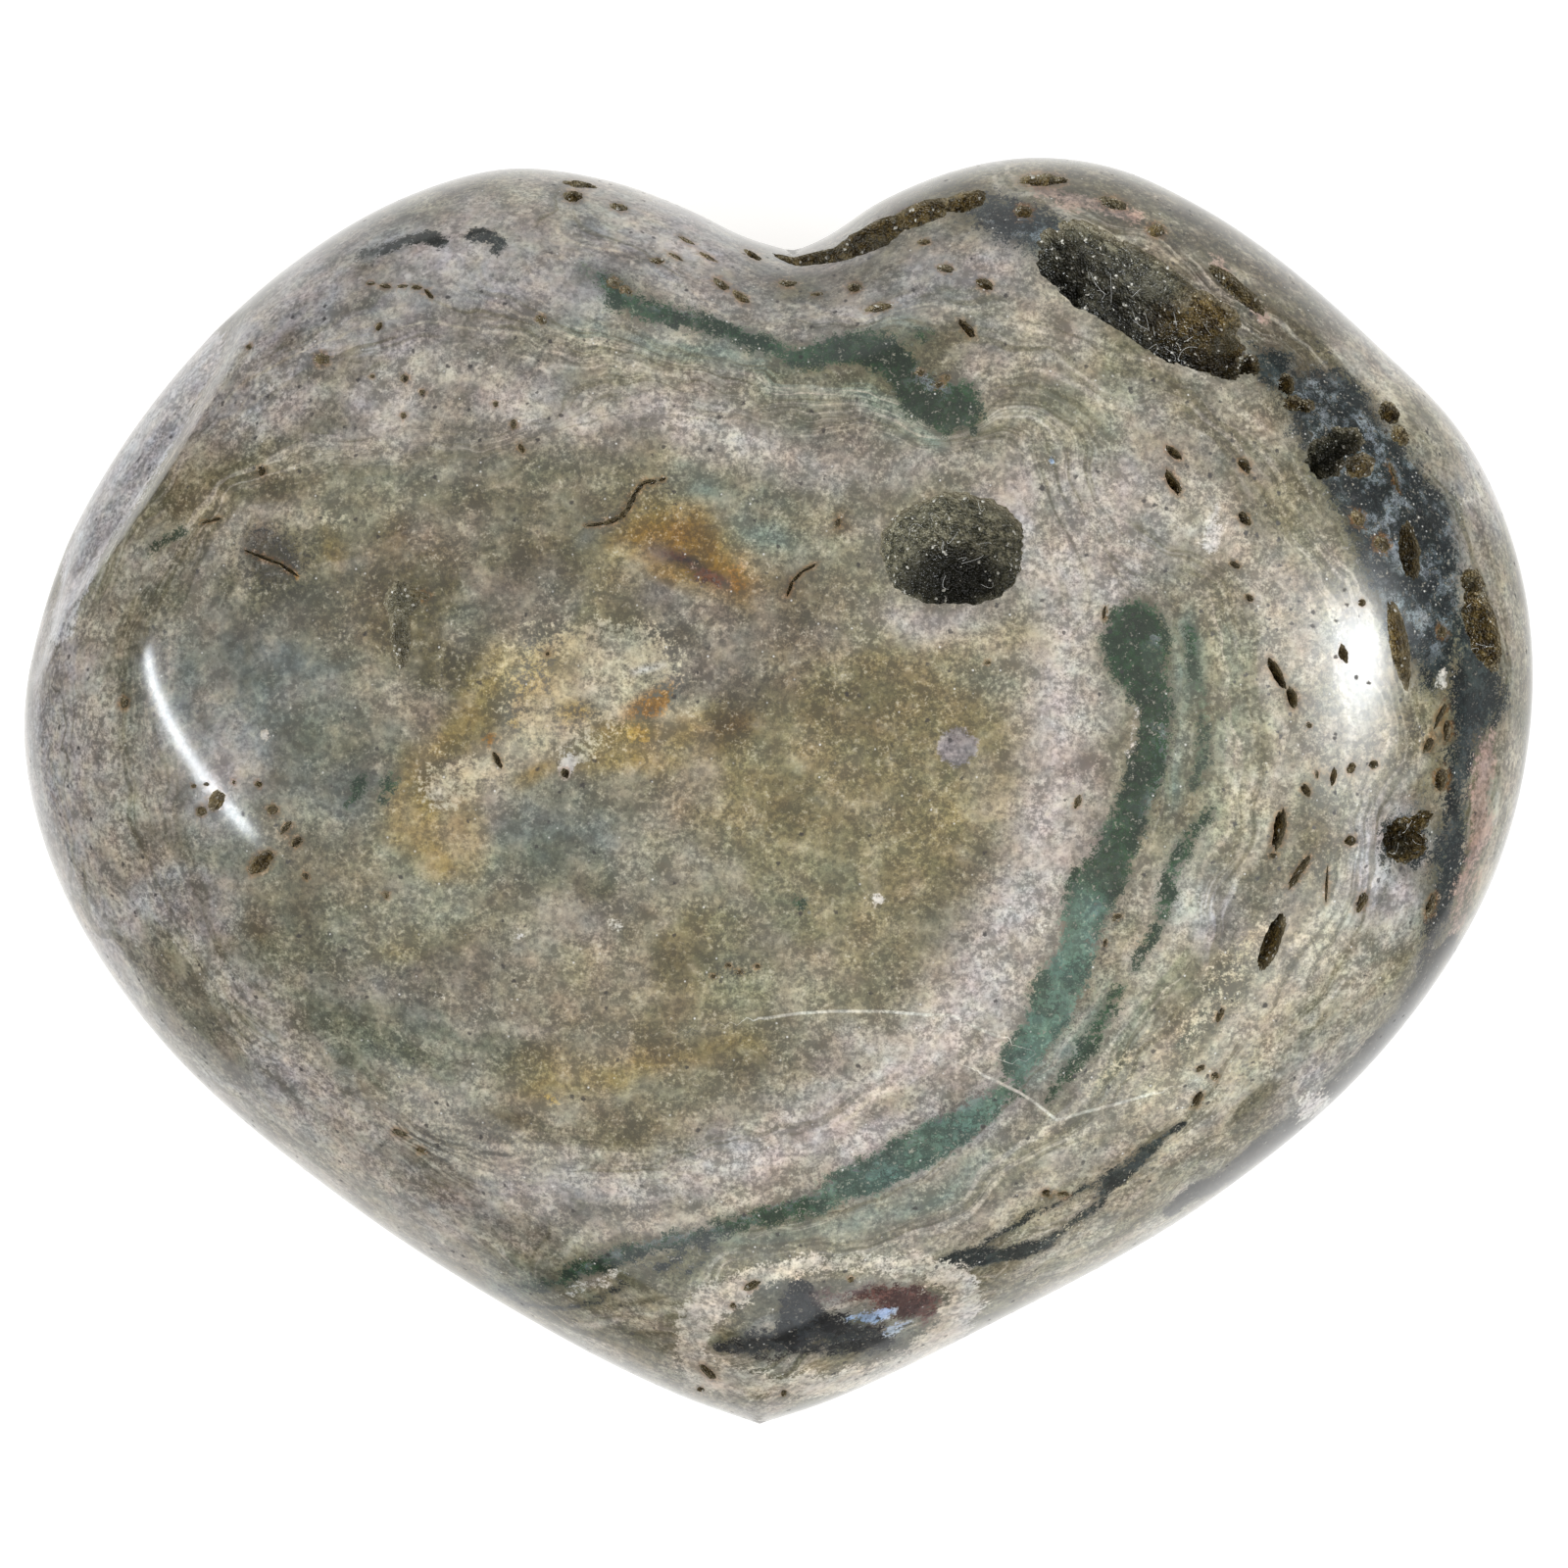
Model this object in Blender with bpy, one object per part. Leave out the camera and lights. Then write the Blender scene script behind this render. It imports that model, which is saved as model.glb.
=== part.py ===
"""Heart-shaped palm stone of orbicular jasper, polished all over, with crystal-lined hollows.

The stone lies on a small flat spot on its back. +X runs across both lobes, +Y runs from the
tip to the cleft between the lobes, and +Z points out of the front. Sizes are in millimetres.
"""

import math

import bmesh
import bpy
import numpy as np
from mathutils import Vector, noise

MM = 0.001

# Half outlines of the heart as seen from the front, from the cleft to the tip.
LEFT_HALF = [
    (0.8, 28.6), (-1.8, 29.4), (-4.9, 30.9), (-9.1, 32.4), (-14.3, 33.0), (-19.5, 31.6),
    (-24.7, 28.7), (-30.4, 23.8), (-35.3, 17.5), (-38.4, 11.3), (-40.0, 3.2), (-38.2, -4.7),
    (-32.5, -13.5), (-22.6, -22.0), (-12.2, -28.6), (-5.4, -32.0), (-1.0, -33.6),
]
RIGHT_HALF = [
    (0.8, 28.6), (2.6, 29.4), (5.5, 31.3), (9.7, 33.0), (13.8, 33.6), (18.0, 33.0),
    (22.2, 31.1), (26.3, 28.4), (31.6, 23.8), (36.5, 18.6), (39.5, 11.3), (39.9, 3.2),
    (37.6, -5.4), (31.7, -14.2), (22.5, -22.0), (10.7, -28.6), (2.9, -32.3), (-1.0, -33.6),
]
STEPS_PER_SPAN = 10

# The flat spot is cut this far into the lowest point of the back.
FLAT_SPOT_CUT = 0.16
# Rolled edge: it rises this far, over about this distance inwards from the outline.
FRONT_EDGE_RISE = 12.0
FRONT_EDGE_REACH = 11.0
BACK_EDGE_RISE = 11.8
BACK_EDGE_REACH = 10.0
# The upper left side and the cleft were ground to a tighter shoulder.
TIGHT_EDGE_REACH = 6.5
TIGHT_EDGE_DEPTH = 9.0
TIGHT_SIDE_ANGLE = math.radians(137)
TIGHT_SIDE_SPREAD = math.radians(24)
CLEFT_ANGLE = math.radians(88)
CLEFT_SPREAD = math.radians(13)
# A low dome lies over each whole face and falls off over these half widths.
FRONT_DOME_HEIGHT = 6.2
BACK_DOME_HEIGHT = 5.2
DOME_HALF_WIDTH = 41.0
DOME_HALF_LENGTH = 37.0
DOME_MIDDLE = (0.0, 1.5)
DOME_START = 4.0
# Grinding rounds the ridge at the tip and the crease of the cleft away over this distance.
CREASE_START = 0.4
CREASE_END = 2.6

# Rings of points run round the stone, closer together at its edge.
POINTS_PER_HALF = 48
FRONT_RINGS = 19
BACK_RINGS = 14
RING_CROWDING = 1.8
INNERMOST_RING = 0.035
RAY_STEPS = 160

# Hollows: middle x, middle y, half length, half width, depth, and the turn of the long side
# in degrees. Each is sunk square to the surface.
HOLLOWS = {
    "round_vug": (9.3, 12.8, 3.8, 2.9, 3.9, 0),
    "long_vug_upper": (15.6, 26.9, 2.4, 1.4, 3.4, -40),
    "long_vug_middle": (19.0, 25.4, 2.9, 1.8, 3.0, -38),
    "long_vug_lower": (22.5, 23.4, 2.6, 1.6, 3.6, -24),
    "upper_slit": (24.3, 26.5, 1.8, 0.7, 1.3, -40),
    "right_pocket": (29.6, 17.7, 1.6, 1.1, 2.2, -20),
    "rim_pocket": (37.2, 9.0, 2.7, 1.2, 2.3, 82),
    "lower_pocket": (33.5, -2.6, 1.25, 1.15, 2.2, 0),
    "leaning_slit": (26.2, -8.0, 1.7, 0.6, 1.6, 78),
    "cleft_groove_inner": (3.6, 28.6, 2.6, 0.9, 1.3, 28),
    "cleft_groove_outer": (8.0, 30.9, 3.0, 1.1, 1.5, 24),
}
HOLLOW_RAISE = 0.3
HOLLOW_UNEVENNESS = 0.14
NOISE_SEED_STEP = 7.3

STONE_COLOUR = (0.262, 0.235, 0.185, 1.0)
STONE_ROUGHNESS = 0.12
STONE_IOR = 1.54


def smooth_line(points, steps):
    """A smooth curve through the points, evenly shaped for unevenly spaced points."""
    points = np.array(points, float)
    ends = np.vstack([2 * points[0] - points[1], points, 2 * points[-1] - points[-2]])
    line = []
    for first in range(len(points) - 1):
        a, b, c, d = ends[first:first + 4]
        at_b = math.sqrt(np.linalg.norm(b - a))
        at_c = at_b + math.sqrt(np.linalg.norm(c - b))
        at_d = at_c + math.sqrt(np.linalg.norm(d - c))
        for t in np.linspace(at_b, at_c, steps, endpoint=False):
            ab = a + (b - a) * t / at_b
            bc = b + (c - b) * (t - at_b) / (at_c - at_b)
            cd = c + (d - c) * (t - at_c) / (at_d - at_c)
            abc = ab + (bc - ab) * t / at_c
            bcd = bc + (cd - bc) * (t - at_b) / (at_d - at_b)
            line.append(abc + (bcd - abc) * (t - at_b) / (at_c - at_b))
    line.append(points[-1])
    return np.array(line)


def heart_outline():
    """The closed outline, counter-clockwise from the cleft, centred on its own box."""
    left = smooth_line(LEFT_HALF, STEPS_PER_SPAN)
    right = smooth_line(RIGHT_HALF, STEPS_PER_SPAN)[::-1]
    line = np.vstack([left[:-1], right[:-1]])
    return line - (line.max(0) + line.min(0)) / 2


def true_inset(outline, places):
    """How far each place lies from the nearest part of the outline."""
    along = np.roll(outline, -1, axis=0) - outline
    offset = places[:, None, :] - outline[None]
    share = np.clip((offset * along).sum(2) / (along**2).sum(1), 0, 1)
    return np.linalg.norm(offset - share[..., None] * along, axis=2).min(1)


def smooth_inset(outline, places):
    """Distance in from the outline, with its ridges and creases ground away.

    The whole outline counts, near parts far more than others: the sum of 1/distance^5 along
    a straight edge is 4/3 of 1/distance^4, which gives the distance back.
    """
    along = np.roll(outline, -1, axis=0) - outline
    middles = outline + along / 2
    lengths = np.linalg.norm(along, axis=1)
    gaps = np.linalg.norm(places[:, None, :] - middles[None], axis=2)
    total = (lengths / np.maximum(gaps, 1e-3) ** 5).sum(1)
    ground = (total / (4 / 3)) ** -0.25
    exact = true_inset(outline, places)
    share = np.clip((exact - CREASE_START) / (CREASE_END - CREASE_START), 0, 1)
    share = share * share * (3 - 2 * share)
    return exact + (ground - exact) * share


def bump(angles, middle, spread):
    """1 at the middle direction, falling smoothly to 0 away from it."""
    gap = np.angle(np.exp(1j * (angles - middle)))
    return np.exp(-0.5 * (gap / spread) ** 2)


def edge(inset, rise, reach):
    """A rounded edge: upright at the outline, then levelling off inwards."""
    return rise * np.sqrt(1 - np.exp(-2 * inset / reach))


def dome(inset, places, height):
    """The low dome over a face. It starts from nothing at the outline."""
    across = (places[:, 0] - DOME_MIDDLE[0]) / DOME_HALF_WIDTH
    along = (places[:, 1] - DOME_MIDDLE[1]) / DOME_HALF_LENGTH
    full = height * np.clip(1 - across**2 - along**2, 0, 1)
    return full * (1 - np.exp(-inset / DOME_START))


def front_height(outline, places):
    """Height of the front above the widest line."""
    inset = smooth_inset(outline, places)
    angles = np.arctan2(places[:, 1], places[:, 0])
    tight = np.maximum(
        bump(angles, TIGHT_SIDE_ANGLE, TIGHT_SIDE_SPREAD),
        bump(angles, CLEFT_ANGLE, CLEFT_SPREAD),
    )
    tight = tight * np.exp(-((inset / TIGHT_EDGE_DEPTH) ** 2))
    reach = FRONT_EDGE_REACH + (TIGHT_EDGE_REACH - FRONT_EDGE_REACH) * tight
    return edge(inset, FRONT_EDGE_RISE, reach) + dome(inset, places, FRONT_DOME_HEIGHT)


def back_depth(outline, places):
    """Depth of the back below the widest line, before the flat spot is cut."""
    inset = smooth_inset(outline, places)
    return edge(inset, BACK_EDGE_RISE, BACK_EDGE_REACH) + dome(inset, places, BACK_DOME_HEIGHT)


def ring_points(outline):
    """Outline points for the rings: evenly spread, with one at the cleft and one at the tip."""
    tip = (len(LEFT_HALF) - 1) * STEPS_PER_SPAN
    closed = np.vstack([outline, outline[:1]])
    halves = []
    for half in (closed[: tip + 1], closed[tip:]):
        run = np.concatenate([[0], np.linalg.norm(np.diff(half, axis=0), axis=1).cumsum()])
        at = np.linspace(0, run[-1], POINTS_PER_HALF, endpoint=False)
        halves.append(np.column_stack([np.interp(at, run, half[:, i]) for i in (0, 1)]))
    return np.vstack(halves)


def flat_spot(outline, widest, equator):
    """Share of each ray from the middle at which the back reaches the flat spot's level."""
    shares = np.linspace(0, 1, RAY_STEPS)
    places = (widest[:, None, :] * shares[None, :, None]).reshape(-1, 2)
    depth = back_depth(outline, places).reshape(len(widest), -1)
    found = []
    for row in depth:
        out = int(np.argmax(row < equator))
        part = (row[out - 1] - equator) / (row[out - 1] - row[out])
        found.append(shares[out - 1] + part * (shares[out] - shares[out - 1]))
    return np.array(found)


def build_rings(outline):
    """The rings from the flat spot over the back, the widest line and the front."""
    widest = ring_points(outline)
    lowest = back_depth(outline, np.zeros((1, 2)))[0]
    equator = lowest - FLAT_SPOT_CUT
    flat = flat_spot(outline, widest, equator)
    rings = []
    for step in range(BACK_RINGS, 0, -1):
        inward = (step / BACK_RINGS) ** RING_CROWDING
        places = widest * (1 - inward * (1 - flat))[:, None]
        z = equator - back_depth(outline, places)
        rings.append(np.column_stack([places, z if step < BACK_RINGS else 0 * z]))
    rings.append(np.column_stack([widest, np.full(len(widest), equator)]))
    for step in range(1, FRONT_RINGS + 1):
        inward = (step / FRONT_RINGS) ** RING_CROWDING
        places = widest * (1 - inward * (1 - INNERMOST_RING))
        rings.append(np.column_stack([places, equator + front_height(outline, places)]))
    return rings, equator


def stone_blank(rings):
    """The closed stone without its hollows."""
    mesh = bpy.data.meshes.new("heart_stone")
    bm = bmesh.new()
    loops = []
    for ring in rings:
        verts = [bm.verts.new(Vector(place) * MM) for place in ring]
        count = len(verts)
        loops.append([bm.edges.new((verts[i], verts[(i + 1) % count])) for i in range(count)])
    for lower, upper in zip(loops[:-1], loops[1:]):
        bmesh.ops.bridge_loops(bm, edges=lower + upper)
    bmesh.ops.contextual_create(bm, geom=loops[0])
    cap = bmesh.ops.contextual_create(bm, geom=loops[-1])
    bmesh.ops.poke(bm, faces=cap["faces"])
    bmesh.ops.recalc_face_normals(bm, faces=bm.faces)
    for face in bm.faces:
        face.smooth = True
    bm.to_mesh(mesh)
    bm.free()
    stone = bpy.data.objects.new("heart_stone", mesh)
    bpy.context.scene.collection.objects.link(stone)
    return stone


def front_frame(outline, equator, x, y):
    """A place on the front and the direction square to the surface there."""
    step = 0.2
    spots = np.array([(x, y), (x + step, y), (x - step, y), (x, y + step), (x, y - step)])
    z = front_height(outline, spots)
    outward = Vector((z[1] - z[2], z[3] - z[4], -2 * step)).normalized() * -1
    return Vector((x, y, equator + z[0])), outward


def hollow_cutter(name, outline, equator, seed):
    """An uneven rounded body that takes one hollow out of the stone."""
    x, y, half_length, half_width, depth, turn = HOLLOWS[name]
    place, outward = front_frame(outline, equator, x, y)
    detail = 3 if half_length > 2 else 2
    bpy.ops.mesh.primitive_ico_sphere_add(subdivisions=detail, radius=1)
    cutter = bpy.context.object
    cutter.name = name
    turn = math.radians(turn)
    along = Vector((math.cos(turn), math.sin(turn), 0))
    along = (along - outward * along.dot(outward)).normalized()
    across = outward.cross(along)
    middle = place + outward * HOLLOW_RAISE
    for vertex in cutter.data.vertices:
        part = vertex.co.copy()
        part *= 1 + HOLLOW_UNEVENNESS * noise.noise(part * 1.3 + Vector((seed, 0, 0)))
        spot = middle + along * part.x * half_length + across * part.y * half_width
        spot += outward * part.z * (depth + HOLLOW_RAISE)
        vertex.co = spot * MM
    cutter.hide_render = True
    cutter.display_type = "WIRE"
    return cutter


def stone_material():
    material = bpy.data.materials.new("polished jasper")
    material.use_nodes = True
    shader = material.node_tree.nodes["Principled BSDF"]
    shader.inputs["Base Color"].default_value = STONE_COLOUR
    shader.inputs["Roughness"].default_value = STONE_ROUGHNESS
    shader.inputs["IOR"].default_value = STONE_IOR
    return material


def main():
    for old in list(bpy.data.objects):
        bpy.data.objects.remove(old, do_unlink=True)
    outline = heart_outline()
    rings, equator = build_rings(outline)
    stone = stone_blank(rings)
    stone.data.materials.append(stone_material())
    for number, name in enumerate(HOLLOWS):
        cut = stone.modifiers.new(name, "BOOLEAN")
        cut.operation = "DIFFERENCE"
        cut.solver = "EXACT"
        cut.object = hollow_cutter(name, outline, equator, number * NOISE_SEED_STEP)


main()
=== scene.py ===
import math

import bpy
import numpy as np
from mathutils import Matrix, Vector, noise


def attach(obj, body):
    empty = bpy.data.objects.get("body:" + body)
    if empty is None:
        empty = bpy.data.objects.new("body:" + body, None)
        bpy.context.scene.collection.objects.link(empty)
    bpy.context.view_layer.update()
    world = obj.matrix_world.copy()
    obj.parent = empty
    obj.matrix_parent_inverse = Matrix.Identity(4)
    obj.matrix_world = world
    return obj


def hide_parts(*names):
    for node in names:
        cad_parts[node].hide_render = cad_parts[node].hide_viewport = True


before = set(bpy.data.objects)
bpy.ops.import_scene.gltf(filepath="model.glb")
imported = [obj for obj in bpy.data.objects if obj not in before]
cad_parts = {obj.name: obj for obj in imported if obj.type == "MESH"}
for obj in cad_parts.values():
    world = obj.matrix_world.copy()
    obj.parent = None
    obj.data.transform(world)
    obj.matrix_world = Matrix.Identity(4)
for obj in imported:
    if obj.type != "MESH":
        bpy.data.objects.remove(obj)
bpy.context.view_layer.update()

MM = 0.001

# The heart's outline, as two halves from the cleft to the tip, in millimetres.
LEFT_HALF = [
    (0.8, 28.6), (-1.8, 29.4), (-4.9, 30.9), (-9.1, 32.4), (-14.3, 33.0), (-19.5, 31.6),
    (-24.7, 28.7), (-30.4, 23.8), (-35.3, 17.5), (-38.4, 11.3), (-40.0, 3.2), (-38.2, -4.7),
    (-32.5, -13.5), (-22.6, -22.0), (-12.2, -28.6), (-5.4, -32.0), (-1.0, -33.6),
]
RIGHT_HALF = [
    (0.8, 28.6), (2.6, 29.4), (5.5, 31.3), (9.7, 33.0), (13.8, 33.6), (18.0, 33.0),
    (22.2, 31.1), (26.3, 28.4), (31.6, 23.8), (36.5, 18.6), (39.5, 11.3), (39.9, 3.2),
    (37.6, -5.4), (31.7, -14.2), (22.5, -22.0), (10.7, -28.6), (2.9, -32.3), (-1.0, -33.6),
]
STEPS_PER_SPAN = 10

# The flat spot is cut this far into the lowest point of the back.
FLAT_SPOT_CUT = 0.16
# Rolled edge: it rises this far, over about this distance inwards from the outline.
FRONT_EDGE_RISE = 12.0
FRONT_EDGE_REACH = 11.0
BACK_EDGE_RISE = 11.8
BACK_EDGE_REACH = 10.0
# The upper left side and the cleft were ground to a tighter shoulder.
TIGHT_EDGE_REACH = 6.5
TIGHT_EDGE_DEPTH = 9.0
TIGHT_SIDE_ANGLE = math.radians(137)
TIGHT_SIDE_SPREAD = math.radians(24)
CLEFT_ANGLE = math.radians(88)
CLEFT_SPREAD = math.radians(13)
# A low dome lies over each whole face and falls off over these half widths.
FRONT_DOME_HEIGHT = 6.2
BACK_DOME_HEIGHT = 5.2
DOME_HALF_WIDTH = 41.0
DOME_HALF_LENGTH = 37.0
DOME_MIDDLE = (0.0, 1.5)
DOME_START = 4.0
# Grinding rounds the ridge at the tip and the crease of the cleft away over this distance.
CREASE_START = 0.4
CREASE_END = 2.6

# The camera looks straight down at the face from this far above the widest line.
CAMERA_DISTANCE = 500.0
FIELD_WIDTH = 83.28
SENSOR_WIDTH = 36.0
CAMERA_ACROSS = 0.29
CAMERA_UP = 0.36

# The skin's points crowd towards the face by this angle.
FRONT_BIAS = math.radians(32)
# Places measured in one go, which keeps the memory small.
PLACES_AT_ONCE = 4000
# Slopes are taken over twice this distance.
SLOPE_STEP = 0.05
# The middle of a hollow's cutter stands this far above the surface.
HOLLOW_RAISE = 0.12
# How uneven the walls are, as a share of a hollow's size, by the first word of a vug's name.
WALL_UNEVENNESS = {"round": 0.07, "long": 0.24, "right": 0.22}
OTHER_UNEVENNESS = 0.16
PIT_UNEVENNESS = 0.3
# The crust on a vug's wall has lumps of this size. Pits longer than LARGE_PIT get a finer cutter.
CRUST_LUMP = 0.34
LARGE_PIT = 0.6
# Faces that meet at less than this angle are shaded as one.
SMOOTH_BELOW = math.radians(35)

CRYSTAL_COUNT = 1100
CRYSTAL_SEED = 8
CRYSTAL_WIDTHS = (0.07, 0.17)
LINT_RADIUS = 0.007
LINT_SEED = 21
# Lint fibres caught in each hollow.
FIBRES = {"round vug": 11, "long vug middle": 10, "long vug right": 7, "rim pocket": 3, "lower pocket": 3}

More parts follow.
